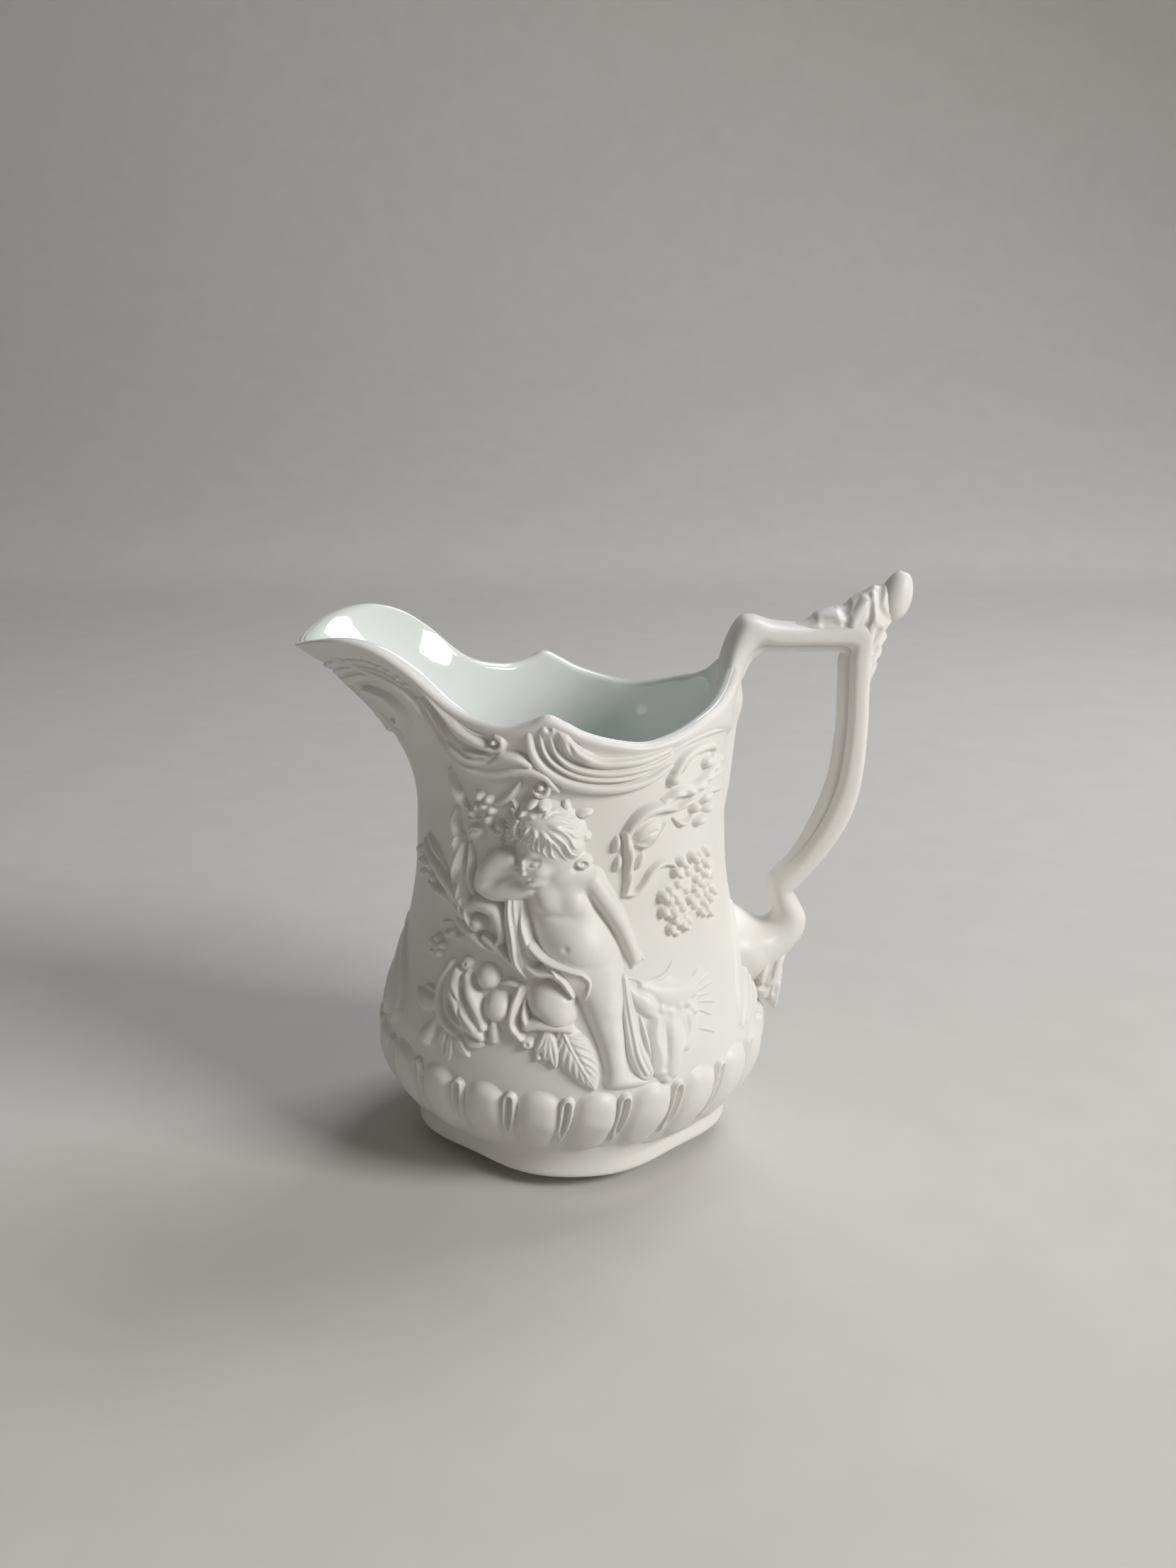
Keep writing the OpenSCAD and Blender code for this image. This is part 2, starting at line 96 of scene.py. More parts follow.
def curve(knots, x):
    """Smooth curve through (x, y) knots, with the mean of the two chords as each knot's slope."""
    k = np.asarray(knots, float)
    x = np.clip(np.asarray(x, float), k[0, 0], k[-1, 0])
    chord = np.diff(k[:, 1]) / np.diff(k[:, 0])
    slope = np.concatenate([chord[:1], (chord[:-1] + chord[1:]) / 2, chord[-1:]])
    i = np.clip(np.searchsorted(k[:, 0], x, side="right") - 1, 0, len(k) - 2)
    w = k[i + 1, 0] - k[i, 0]
    t = (x - k[i, 0]) / w
    return (
        (2 * t**3 - 3 * t**2 + 1) * k[i, 1] + (t**3 - 2 * t**2 + t) * w * slope[i]
        + (3 * t**2 - 2 * t**3) * k[i + 1, 1] + (t**3 - t**2) * w * slope[i + 1]
    )


def path(points, per_span=8):
    """Dense points of a smooth curve through rows of numbers."""
    p = np.asarray(points, float)
    ends = np.vstack([2 * p[0] - p[1], p, 2 * p[-1] - p[-2]])
    t = np.linspace(0, 1, per_span, endpoint=False)[:, None]
    spans = [
        0.5 * (2 * b + (c - a) * t + (2 * a - 5 * b + 4 * c - d) * t**2 + (3 * b - a - 3 * c + d) * t**3)
        for a, b, c, d in zip(ends, ends[1:], ends[2:], ends[3:])
    ]
    return np.vstack(spans + [p[-1:]])


def angle_of(u):
    """Direction from the jug's axis of a place on the wall."""
    return np.radians(-90) + np.asarray(u, float) / WRAP_R


def from_handle(angle):
    """Degrees away from the handle, to either side."""
    return np.degrees(np.arccos(np.clip(np.cos(angle), -1, 1)))


def rim_height(angle):
    """Height of the rim's crest."""
    return curve(RIM, from_handle(angle))


def wall_radius(angle, z):
    """Radius of the wall's outer face, spout and all."""
    reach = SPOUT_OUT * np.clip((z - SPOUT_Z) / SPOUT_RISE, 0, None) ** SPOUT_BEND
    return curve(OUTLINE, z) + reach * np.exp(-(((180 - from_handle(angle)) / SPOUT_SPREAD) ** 2))


def soft_max(a, b, blend):
    """The larger of a and b, with a fillet where they cross."""
    near = np.clip(blend - np.abs(a - b), 0, None) / blend
    return np.maximum(a, b) + near**2 * blend / 4


def plump(s):
    """Height of a rounded pad: s is 1 in its middle, 0 on its edge and below 0 outside."""
    return np.where(s > 0, 1.6 * s - 0.6 * s * s, 1.6 * s)


# ---------------------------------------------------------------- clay pressed on the wall

GRID = 0.16           # spacing of the clay's points
DEEP = -3.0           # where there is no clay
FILLET = 0.7          # size of the fillet where clay meets wall
SUNK = 0.03           # how far the fillet's edge goes under the wall's face
BACK = 0.5            # how far the clay's back lies inside the wall
RIM_CLEAR = 0.9       # how far under the rim's crest the clay ends
RIM_FILLET = 0.6      # how softly it ends there
THINNEST = 0.12       # least half-width of a stroke


class Clay:
    """Heights of clay over a patch of wall, shaped by adding pads, strokes, ridges and grooves."""

    def __init__(self, low, high, step=GRID):
        self.u = np.arange(low[0], high[0], step)
        self.z = np.arange(low[1], high[1], step)
        self.h = np.full((len(self.z), len(self.u)), DEEP)

    def window(self, low_u, low_z, high_u, high_z):
        i = slice(*np.searchsorted(self.u, [low_u, high_u]))
        j = slice(*np.searchsorted(self.z, [low_z, high_z]))
        return (j, i), *np.meshgrid(self.u[i], self.z[j])

    def near_line(self, line, margin):
        """For each point near a line: how far along it lies, its side, and the line's other columns there."""
        low = line[:, :2].min(0) - margin
        high = line[:, :2].max(0) + margin
        part, u, z = self.window(*low, *high)
        best = np.full(u.shape, 1e9)
        found = [np.zeros(u.shape) for _ in line[0]]
        run = 0.0
        for a, b in zip(line, line[1:]):
            d = b[:2] - a[:2]
            size = max(math.hypot(*d), 1e-6)
            du, dz = u - a[0], z - a[1]
            t = np.clip((du * d[0] + dz * d[1]) / size**2, 0, 1)
            extra = [a[k] + (b[k] - a[k]) * t for k in range(2, line.shape[1])]
            away = np.hypot(du - t * d[0], dz - t * d[1])
            side = np.sign(d[0] * dz - d[1] * du) * away
            ratio = away / np.maximum(extra[0], 0.05)
            closer = ratio < best
            best = np.where(closer, ratio, best)
            for k, value in enumerate([run + t * size, side, *extra]):
                found[k] = np.where(closer, value, found[k])
            run += size
        return part, best, found

    def oval(self, u, z, half_u, half_z, turn, reach):
        """The patch round a turned oval, with how deep inside it each point is: 1 in its middle."""
        part, gu, gz = self.window(u - reach, z - reach, u + reach, z + reach)
        c, s = math.cos(math.radians(turn)), math.sin(math.radians(turn))
        x = ((gu - u) * c + (gz - z) * s) / half_u
        y = ((gz - z) * c - (gu - u) * s) / half_z
        return part, 1 - x * x - y * y

    def pad(self, u, z, half_u, half_z, high, turn=0, blend=0.4, base=0):
        """A rounded pad of clay, joined on with a fillet. base lifts its edge off the wall."""
        part, inside = self.oval(u, z, half_u, half_z, turn, 1.5 * max(half_u, half_z))
        new = base + (high - base) * plump(inside)
        self.h[part] = soft_max(self.h[part], new, blend)

    def pads(self, places, half_u, half_z, high, blend):
        """The same pad at several places."""
        for u, z in places:
            self.pad(u, z, half_u, half_z, high, blend=blend)

    def stroke(self, rows, blend=0.4, detail=None, base=0):
        """A rounded stroke through rows of (u, z, half-width, height)."""
        line = path(rows)
        line[:, 2] = np.maximum(line[:, 2], THINNEST)
        part, ratio, (along, side, width, high) = self.near_line(line, 1.4 * line[:, 2].max())
        new = base + (high - base) * plump(1 - ratio**2)
        if detail is not None:
            new = new + detail(along, side / width) * np.clip(1.2 - ratio, 0, 1)
        self.h[part] = soft_max(self.h[part], new, blend)

    def rib(self, points, half_width, high, ends=(0.5, 0.5), blend=0.3, detail=None):
        """A stroke of one width that narrows and sinks towards its ends."""
        p = np.asarray(points, float)
        share = curve([(0, ends[0]), (0.3, 1), (0.7, 1), (1, ends[1])], np.linspace(0, 1, len(p)))
        self.stroke(np.column_stack([p, half_width * share, high * share]), blend, detail)

    def ridge(self, points, half_width, amount, fade=True):
        """Adds to the height along a line; a negative amount is a groove."""
        p = np.asarray(points, float)
        line = path(np.column_stack([p, np.full(len(p), half_width)]))
        part, ratio, (along, _, _) = self.near_line(line, half_width)
        ends = np.ones_like(along)
        if fade:
            run = along.max() or 1
            ends = np.clip(np.minimum(along, run - along) / (0.25 * run), 0, 1)
        self.h[part] += amount * ends * np.clip(1 - ratio**2, 0, None) ** 1.5

    def bump(self, u, z, half_u, half_z, amount, turn=0):
        """Adds a soft swelling, or a hollow if the amount is negative."""
        part, inside = self.oval(u, z, half_u, half_z, turn, max(half_u, half_z))
        self.h[part] += amount * np.clip(inside, 0, None) ** 2

    def leaf(self, spine, half_width, high, veins=0, teeth=0, lean=0.5, blend=0.3):
        """A leaf along a spine, with a sunk midrib, side veins and a toothed edge."""
        p = np.asarray(spine, float)
        share = curve([(0, 0.35), (0.35, 1), (0.7, 0.8), (1, 0.12)], np.linspace(0, 1, len(p) * 2 - 1))
        rows = path(p, 2)
        rows = np.column_stack([rows, half_width * share, high * (0.55 + 0.45 * share)])
        length = np.hypot(*np.diff(p, axis=0).T).sum()

        def surface(along, s):
            lift = -0.3 * high * np.clip(1 - np.abs(s) / 0.22, 0, 1)
            if veins:
                phase = (along / length - lean * np.abs(s)) * veins * 2 * math.pi
                lift = lift + 0.16 * high * np.cos(phase) * np.clip(np.abs(s) * 2, 0, 1)
            if teeth:
                phase = (along / length - lean * np.abs(s)) * teeth * 2 * math.pi
                lift = lift + 0.5 * high * np.cos(phase) * np.clip(np.abs(s) * 2.2 - 1.2, 0, 1)
            return lift

        self.stroke(rows, blend, surface)

    def soften(self, times=1):
        """Smooths the heights with their neighbours."""
        for _ in range(times):
            h = np.pad(self.h, 1, mode="edge")
            h = (h[:-2] + 2 * h[1:-1] + h[2:]) / 4
            self.h = (h[:, :-2] + 2 * h[:, 1:-1] + h[:, 2:]) / 4

    def press(self, share):
        """Presses the clay down to a share of its height."""
        self.h = np.where(self.h > 0, share * self.h, self.h)

    def heights(self):
        """Height off the wall, with the fillet where the clay runs out, and none on the rim's crest."""
        u, z = np.meshgrid(self.u, self.z)
        under_crest = rim_height(angle_of(u)) - RIM_CLEAR - z
        h = -soft_max(-self.h, -under_crest, RIM_FILLET)
        return soft_max(h, np.zeros_like(h), FILLET) - SUNK


# ---------------------------------------------------------------- the relief, piece by piece


def twist(pitch, strands, depth):
    """Detail for a stroke twisted like bark or a rope."""
    return lambda along, s: depth * np.cos(2 * math.pi * (along / pitch + s * strands))


def folds(count, depth):
    """Detail for cloth with folds running along a stroke."""
    return lambda along, s: depth * np.cos(2 * math.pi * (s * count / 2 + 0.12 * np.sin(along / 2)))


def ring_of(u, z, radius, count, start=0, stretch=1.0):
    """Places spread round a centre."""
    turns = [start + 2 * math.pi * k / count for k in range(count)]
    return [(u + radius * math.cos(a), z + radius * stretch * math.sin(a)) for a in turns]


def rim_scroll():
    c = Clay((-14, 72), (48, 97))
    c.stroke([(-9.3, 90, 0.9, 0.9), (-8.6, 86.4, 1.2, 1.6), (-6.4, 83.3, 1.3, 1.9), (-2, 80.7, 1.3, 1.9),
              (4, 79.3, 1.2, 1.8), (10, 79.1, 1.1, 1.7), (16, 80.1, 1, 1.5), (21, 82.2, 0.7, 1.1)])
    c.rib([(-7, 90), (-6, 86.4), (-3.6, 83.8), (1, 81.7), (7, 80.9), (13, 81.2), (20, 83.2)], 0.65, 1.6)
    c.rib([(-4.9, 89.2), (-3.6, 86), (-0.5, 83.6), (5, 82.3), (11, 82.2), (17, 82.9), (21, 84.2)], 0.75, 1.6)
    c.stroke([(-2.6, 90.6, 1.4, 1.2), (-1.1, 87.6, 1.5, 1.8), (1.6, 85.6, 1.4, 2), (5, 84.2, 1.1, 1.7),
              (9, 83.9, 1, 1.6), (14, 84.1, 1, 1.5), (20.5, 85.4, 0.7, 1)])
    c.ridge([(-1.6, 89), (-0.2, 86.2), (2.4, 84.2)], 0.55, -0.5)
    c.pad(-5.2, 91.4, 2.6, 2.6, 1.3, turn=60)
    c.bump(-5.1, 91.2, 0.9, 1.2, -0.9)
    # Comma scroll at the end of the ribs
    c.stroke([(21.9, 79.4, 1.4, 1.7), (22.6, 81, 1.1, 1.7), (24.6, 83, 1.1, 1.6), (27.5, 84, 1.1, 1.6),
              (31, 84.3, 1.1, 1.5), (34.2, 83.9, 1, 1.3), (36.4, 82.6, 0.8, 1.1)])
    c.pad(21.9, 79.3, 1.6, 1.4, 1.9)
    c.stroke([(36, 82.8, 0.8, 1.1), (34.6, 80.9, 1.1, 1.4), (32.4, 80.9, 1.4, 1.7)])
    c.rib([(30.2, 82.7), (28, 82.3), (25.6, 81.4), (24.4, 80)], 0.5, 0.9)
    c.rib([(20, 83.9), (24.5, 85.9), (30, 86.8), (36, 86.6), (43, 85.4)], 0.7, 0.9, ends=(0.5, 0.4))
    c.soften()
    return c


def spout_scroll():
    c = Clay((-55, 74), (-2, 104))
    # Ground under the scroll
    c.stroke([(-32.6, 94, 0.7, 0.6), (-29.6, 89.6, 1.5, 1), (-26, 85.8, 2.2, 1.2), (-20.6, 83.6, 2.2, 1.3),
              (-14, 83.8, 2, 1.4), (-8.4, 83.2, 1.2, 1.4)], blend=0.6)
    # The long rib that sweeps down from the spout and ends in a volute
    c.stroke([(-44, 101, 0.7, 0.7), (-38.5, 98, 0.9, 1.2), (-34.4, 94.8, 1, 1.5), (-31.6, 91, 1, 1.8),
              (-29.4, 87.6, 1, 1.9), (-27, 84.4, 1.1, 2), (-23.8, 82.2, 1.1, 2.1), (-20, 81.2, 1.1, 2.1),
              (-16, 81.4, 1.1, 2.1), (-12, 82.4, 1.2, 2.2), (-8.8, 82.6, 1.2, 2.2), (-6, 81.7, 1.1, 2.1),
              (-4.6, 80.3, 0.9, 1.9), (-3.4, 79, 0.5, 1.4)], blend=0.2)
    c.stroke([(-5.2, 79.6, 0.8, 1.8), (-5.9, 78.3, 0.8, 1.8), (-7.3, 78, 0.8, 1.8), (-8.3, 78.9, 0.7, 1.7)],
             blend=0.2)
    c.pad(-6.9, 79.6, 1, 0.9, 2.1, blend=0.1)
    c.rib([(-31.4, 94.6), (-29.6, 91.4), (-27.6, 88.2), (-25.6, 85.8)], 0.55, 1.7, blend=0.15)
    # Comma leaf inside it
    c.stroke([(-27.6, 87.4, 0.5, 1.5), (-26, 85.4, 1.1, 2.1), (-23.4, 83.8, 1.1, 2.2), (-20.2, 83.3, 0.8, 2),
              (-17.4, 83.9, 0.4, 1.5)], blend=0.15)
    c.stroke([(-23.4, 85.6, 0.4, 1.5), (-21.2, 84.9, 0.8, 2), (-18.4, 85, 0.5, 1.6)], blend=0.15)
    c.stroke([(-17.6, 83.4, 0.6, 1.6), (-14.8, 84.7, 1.2, 2.3), (-11.6, 84.9, 1.2, 2.4),
              (-9, 83.9, 0.9, 2.1)], blend=0.2)
    # Upper ridge that ends in a small volute
    c.stroke([(-31, 96.4, 0.5, 0.9), (-28, 93.4, 1, 1.6), (-25.8, 91.2, 1.3, 2), (-23.8, 89, 1.6, 2.2),
              (-21, 87.6, 1.4, 2.1), (-18.2, 86.6, 1, 1.9), (-16.2, 86.2, 0.8, 1.8), (-14.7, 86.9, 0.8, 1.7),
              (-14.6, 88.2, 0.8, 1.7), (-15.8, 89, 0.7, 1.6)], blend=0.2)
    c.pad(-16.3, 87.7, 0.9, 0.8, 2, blend=0.1)
    c.ridge([(-17.6, 88.4), (-17.4, 87.3), (-16.2, 86.8), (-15.5, 87.6)], 0.3, -0.6)
    c.rib([(-26, 92.6), (-23.4, 90.4), (-20.4, 89), (-17.6, 88.9)], 0.5, 1, blend=0.15)
    # C-curl on the spout's side
    c.pad(-41, 91, 3, 3, 1.3, blend=0.6)
    c.stroke([(-45.4, 93, 0.6, 1.2), (-43, 94.2, 0.9, 1.9), (-40.2, 94, 1, 2.3), (-38.2, 92.2, 1.1, 2.4),
              (-37.8, 89.8, 1.1, 2.3), (-39.2, 88, 1, 2.2), (-41, 88.4, 0.8, 2)], blend=0.2)
    c.rib([(-46, 88.6), (-43.8, 86), (-43.4, 83), (-44.6, 80.4)], 0.7, 1.1)
    c.soften()
    return c


BEADS = 20            # under the spout's lip, on each side
BEAD_STEP_DEG = 1.8
BEAD_R = 0.62
BEAD_DROP = 4.8       # from the rim's crest down to the beads


def rim_beads(side):
    """Places of the beads under the spout's lip, on one side of it, with their half-width in u."""
    for k in range(BEADS):
        angle = math.radians(180 + side * BEAD_STEP_DEG * (k + 0.5))
        z = float(rim_height(angle)) - BEAD_DROP
        yield WRAP_R * (angle - math.radians(270)), z, BEAD_R * WRAP_R / float(wall_radius(angle, z))


def spout_beading():
    c = Clay((-92, 86), (-18, 104), step=0.11)
    for side in (-1, 1):
        beads = list(rim_beads(side))
        for u, z, half in beads:
            c.pad(u, z, half, BEAD_R, 0.9, blend=0.1)
        c.stroke([(u, z - 1.4, 0.45, 0.7) for u, z, _ in beads[::2]], blend=0.2)
        c.stroke([(u, z - 3.2, 0.8, 1) for u, z, _ in beads[4::3]], blend=0.3)
    return c


def spout_cartouche():
    c = Clay((-76, 22), (-34, 100), step=0.2)
    for side in (-1, 1):
        def at(points):
            return [(SPOUT_U + side * p[0], *p[1:]) for p in points]
        # C-scroll that curls round a ball
        c.stroke(at([(0.6, 95.4, 0.6, 0.6), (3.4, 94.6, 0.8, 0.9), (6, 92.6, 0.8, 1.1), (7.4, 89.6, 0.9, 1.2),
                     (7, 86.6, 0.9, 1.1), (5.4, 84.8, 0.8, 1.1), (4.2, 85.8, 0.7, 1)]), blend=0.2)
        c.pad(SPOUT_U + side * 4.4, 87.2, 0.9, 1.2, 1.1, blend=0.1)
        c.rib(at([(1.2, 91), (3, 90.4), (4.8, 89.2)]), 0.5, 0.8)
        # Acanthus leaf low on the wall
        c.stroke(at([(3, 43, 0.8, 0.5), (6, 40.4, 1.5, 0.9), (9.5, 37.5, 1.6, 1.1), (12.5, 34.6, 1.6, 1.3),
                     (14.2, 31, 1.4, 1.4), (13.8, 27.6, 1.2, 1.3), (10.5, 25.6, 1, 1)]))
        c.stroke(at([(2, 40, 0.8, 0.5), (4.4, 37, 1.5, 0.9), (6.8, 33.4, 1.7, 1.2), (8, 29, 1.4, 1.2),
                     (5.8, 25.4, 0.9, 0.9)]))
        c.stroke(at([(0.6, 36, 0.9, 0.5), (2, 32, 1.5, 0.9), (3, 27, 1.3, 1), (2.4, 24.6, 0.7, 0.6)]))
        c.ridge(at([(6, 41), (8.8, 37.6), (12, 33)]), 0.5, -0.35)
    c.soften()
    return c


def putto():
    c = Clay((-25, 19), (16, 80))
    # Standing leg and foot
    c.stroke([(4, 43.6, 5.2, 3.1), (5, 39.4, 4.3, 3.2), (5.5, 35.4, 3.3, 2.8), (6.1, 32, 2.7, 2.5),
              (6.5, 28.4, 2.2, 2.2), (6.9, 25, 2.1, 2)], blend=0.8)
    c.stroke([(6.4, 23.9, 2, 1.8), (8.8, 23.3, 1.6, 1.5), (11.4, 22.9, 1.1, 1.1)], blend=1)
    c.bump(5.8, 37.2, 2.2, 1.6, 0.3)
    c.bump(6.8, 32.2, 1.8, 2.6, 0.25)
    # Hips, belly and chest
    c.stroke([(-4.2, 60.6, 5.6, 2.6), (-3, 57.4, 6.7, 3.2), (-1.2, 52.6, 7.3, 3.5), (0.9, 48, 8, 3.8),
              (3.4, 44.2, 6, 3.4)], blend=1.2)
    c.soften(8)
    c.bump(-6.4, 58.4, 4.4, 3.4, 0.7, turn=-20)
    c.bump(0.6, 58, 4.2, 3.2, 0.65, turn=-15)
    c.ridge([(-9.4, 57), (-7, 55.6), (-4.4, 55.4), (-1, 55), (2.4, 55.8)], 1.1, -0.35)
    c.bump(0.4, 50, 6.4, 4.6, 0.8, turn=-25)
    c.bump(-1.9, 49.4, 0.75, 0.6, -0.75)
    c.ridge([(-6, 48.3), (-2, 46.7), (2, 45.7), (6.4, 46.4)], 0.9, -0.3)
    # Neck and shoulders
    c.stroke([(-3, 64, 3.6, 2.8), (-1, 62, 3.6, 2.6), (3.6, 61.4, 2.8, 2.5)], blend=1)
    # Lowered arm
    c.stroke([(3.6, 61.2, 2.6, 2.8), (6, 57.8, 2.5, 3), (8.6, 53.8, 2.2, 2.9), (10.2, 50.4, 1.9, 2.5),
              (11.4, 47.4, 1.6, 2), (12, 45.9, 1.5, 1.5)], blend=0.35)
    c.rib([(11.6, 46.6), (11.4, 45), (11.2, 43.9)], 0.55, 1.2, ends=(1, 0.8))
    c.rib([(12.8, 46.8), (13.6, 46), (14.2, 45.2)], 0.5, 1, ends=(1, 0.7))
    c.ridge([(1.2, 60.4), (3.2, 57.6), (5.4, 54.6), (7.4, 51.4), (8.8, 48)], 0.55, -0.7)
    # Raised arm, bent so that its hand meets the cheek
    c.pad(-15.4, 61.8, 5, 4.2, 2.9, turn=20, blend=0.8)
    c.stroke([(-9.6, 60.2, 2.4, 2.8), (-13.6, 59.1, 2.4, 3.2), (-17, 58.6, 2.3, 3.3),
              (-19.2, 59.2, 2.2, 3.1)], blend=0.8)
    c.stroke([(-19.6, 60, 2.5, 3.2), (-18.1, 62.6, 2.9, 3.9), (-15.6, 64.6, 2.7, 3.9), (-13, 65.4, 2, 3.7)],
             blend=0.8)
    c.soften(3)
    c.ridge([(-17.4, 60.2), (-15.6, 61.2), (-13.8, 62.2), (-11.4, 62.8)], 0.7, -0.9)
    for k in range(3):
        c.rib([(-13, 65.9 - 0.9 * k), (-11.8, 65.2 - 0.8 * k), (-11, 64.2 - 0.6 * k)], 0.45, 4)
    putto_head(c)
    c.soften()
    return c


FACE_AT = (-9, 64.9)
FACE_TILT = -14       # degrees the face leans: its chin is to the right of its brow
CROWN = np.array([-7.4, 74.4])
HAIR_LOCKS = 17
# How far the hair reaches from the crown: (degrees, distance)
HAIRLINE = [
    (205, 6.4), (222, 6.8), (255, 6), (280, 6.8), (297, 8.6), (308, 10.6), (321, 10.8), (335, 10),
    (351, 8.6), (368, 7),
]


def putto_head(c):
    """A generic child's head, bowed to the left, with wavy hair. The face is set out on its own axes."""
    cos_t, sin_t = math.cos(math.radians(FACE_TILT)), math.sin(math.radians(FACE_TILT))

    def face(*points):
        return [(FACE_AT[0] + x * cos_t + y * sin_t, FACE_AT[1] - x * sin_t + y * cos_t) for x, y in points]

    c.pad(-5.4, 68.4, 7.4, 7.2, 4.6, blend=0.5)
    c.pad(*face((0.9, -0.6))[0], 4.9, 4.3, 4.7, turn=30, blend=0.8)
    c.pad(*face((0.5, -3))[0], 2.7, 1.9, 4.3, turn=10, blend=1)
    c.soften(3)
    c.bump(*face((2.7, -1.5))[0], 2.6, 2.3, 0.55)
    c.bump(*face((-2.1, -1.5))[0], 1.2, 1.6, 0.3)
    c.bump(*face((-0.1, -4))[0], 1.3, 0.9, 0.35)
    # Brow, eyes with lowered lids, nose and mouth
    c.ridge(face((-3, 1.9), (-2, 2.3), (-0.8, 1.7), (0.8, 2.3), (2.8, 1.7)), 0.8, 0.4)
    for x, half in ((-2, 0.9), (1.5, 1.2)):
        c.bump(*face((x, 0.8))[0], 1.5 * half, 1, -0.75, turn=-FACE_TILT)
        c.bump(*face((x, 0.45))[0], half, 0.65, 0.75, turn=-FACE_TILT)
        c.ridge(face((x - half, 0.3), (x, -0.1), (x + half, 0.2)), 0.3, -0.5)
    c.ridge(face((-0.6, 2), (-0.8, 0.6), (-1, -0.8)), 0.7, 0.65)
    c.bump(*face((-1, -1))[0], 0.85, 0.7, 0.8)
    c.bump(*face((-0.8, -1.6))[0], 0.6, 0.35, -0.4)
    c.ridge(face((-1.7, -2.4), (-0.9, -2.2), (0.2, -2.4)), 0.45, 0.4)
    c.ridge(face((-1.4, -3.1), (-0.7, -3.2), (0.1, -3)), 0.45, 0.35)
    c.ridge(face((-1.9, -2.7), (-0.9, -2.75), (0.6, -2.6)), 0.3, -0.6)
    # Hair: a cap of wavy locks that fan out from the crown, and curls at its edge
    c.pad(-5, 71.9, 7.8, 5.1, 5.3, turn=-18, blend=0.4)
    c.pad(-0.9, 69, 2.9, 3.4, 4.8, blend=0.6)
    c.soften()
    for k in range(HAIR_LOCKS):
        degrees = HAIRLINE[0][0] + (HAIRLINE[-1][0] - HAIRLINE[0][0]) * k / (HAIR_LOCKS - 1)
        way = math.radians(degrees)
        out = np.array([math.cos(way), math.sin(way)])
        across = np.array([-out[1], out[0]])
        reach = float(curve(HAIRLINE, degrees))
        bend = 0.7 + 0.5 * math.sin(1.7 * k)
        lock = [CROWN + reach * t * out + bend * side * across
                for t, side in ((0.25, 0.2), (0.45, 0.9), (0.65, 0.6), (0.85, -0.3), (1.02, 0.3))]
        c.ridge(lock, 0.6, 0.45)
        c.ridge([p + 0.35 * across for p in lock], 0.25, -0.35)
        c.ridge([p - 0.35 * across for p in lock[1:]], 0.22, -0.3)
    for k in range(7):
        way = math.radians(138 + 13 * k)
        out = np.array([math.cos(way), math.sin(way)])
        root = np.array([-9.2, 71.8]) + 2.4 * out
        c.stroke([(*root, 0.5, 4), (*(root + 1.3 * out + (0, 0.3)), 0.5, 3.2), (*(root + 2.7 * out), 0.3, 2)],
                 blend=0.6, base=1)
    for u, z, turn in ((-10, 75.2, 50), (-8.4, 76.6, 20), (-6, 76.5, -25), (-8, 74.8, 0), (-5.6, 75, 30)):
        c.pad(u, z, 1.4, 0.8, 4.8, turn=turn, blend=0.3, base=2)
        c.ridge([(u - 0.8, z - 0.1), (u, z + 0.15), (u + 0.8, z)], 0.3, -0.35)
    # Ear
    c.pad(1.5, 65.4, 2.2, 1.5, 3.4, blend=0.2, turn=-8)
    c.bump(1.5, 65.4, 1.5, 0.9, -1.4, turn=-8)
    c.pad(1.3, 65.3, 0.5, 0.4, 2.6, blend=0.2)


def drapery():
    c = Clay((-17, 19), (15, 62))
    # Folds that hang from the raised arm
    c.stroke([(-12.6, 58.6, 2.2, 1.4), (-12.4, 55, 2.6, 2.2), (-11.4, 50, 3.2, 2.3), (-10, 46, 3, 2.4),
              (-8.6, 44.4, 2, 2)], blend=0.8)
    c.stroke([(-13.2, 59.6, 1.2, 2), (-13, 55, 1.9, 2.8), (-12.2, 50, 1.9, 3), (-11.2, 46, 1.7, 2.8),
              (-9.4, 43.4, 1, 2.2)], blend=0.7, detail=folds(3, 0.4))
    c.rib([(-14.6, 57.6), (-14.4, 53), (-13.8, 49)], 0.5, 1.6)
    c.rib([(-10.9, 57), (-10.5, 53), (-9.4, 50), (-8.4, 47.6), (-7, 46.2)], 0.75, 3)
    # Sash across the hips, with a dark pocket under its end
    c.stroke([(-8.6, 49.4, 0.8, 3.8), (-6.4, 47.6, 1, 4.2), (-4, 46.4, 1, 4.4), (-1, 45.4, 1, 4.4),
              (1.2, 44.6, 1, 4.3), (2.3, 43.2, 0.9, 4), (2, 41.2, 0.8, 3.6), (1.4, 39.6, 0.6, 2.8)],
             blend=0.25)
    c.stroke([(-9.4, 45.4, 1, 2.6), (-7, 44.4, 1.4, 3.2), (-4.4, 44.6, 1.6, 3.6), (-2.6, 43.4, 1.3, 3.8),
              (-1.4, 41.6, 1, 3.6), (-0.6, 40.2, 0.7, 3)], detail=folds(2, 0.3), blend=0.25)
    c.rib([(-6, 46), (-4.6, 45.6), (-3.2, 44), (-2.6, 42)], 0.5, 3.8)
    c.ridge([(0.5, 44), (0.4, 42), (0.6, 40), (0.9, 38.4)], 0.7, -1.2, fade=False)
    # Cloth that falls behind the leg
    c.stroke([(9.4, 42.6, 0.8, 1.2), (9.6, 38, 1.3, 1.6), (9.8, 33, 1.5, 1.7), (10.6, 28.4, 1.7, 1.7),
              (12, 24.6, 1.7, 1.4)], detail=folds(3, 0.3))
    c.rib([(12, 35), (12.6, 31), (13.2, 27)], 0.5, 1)
    c.soften()
    return c


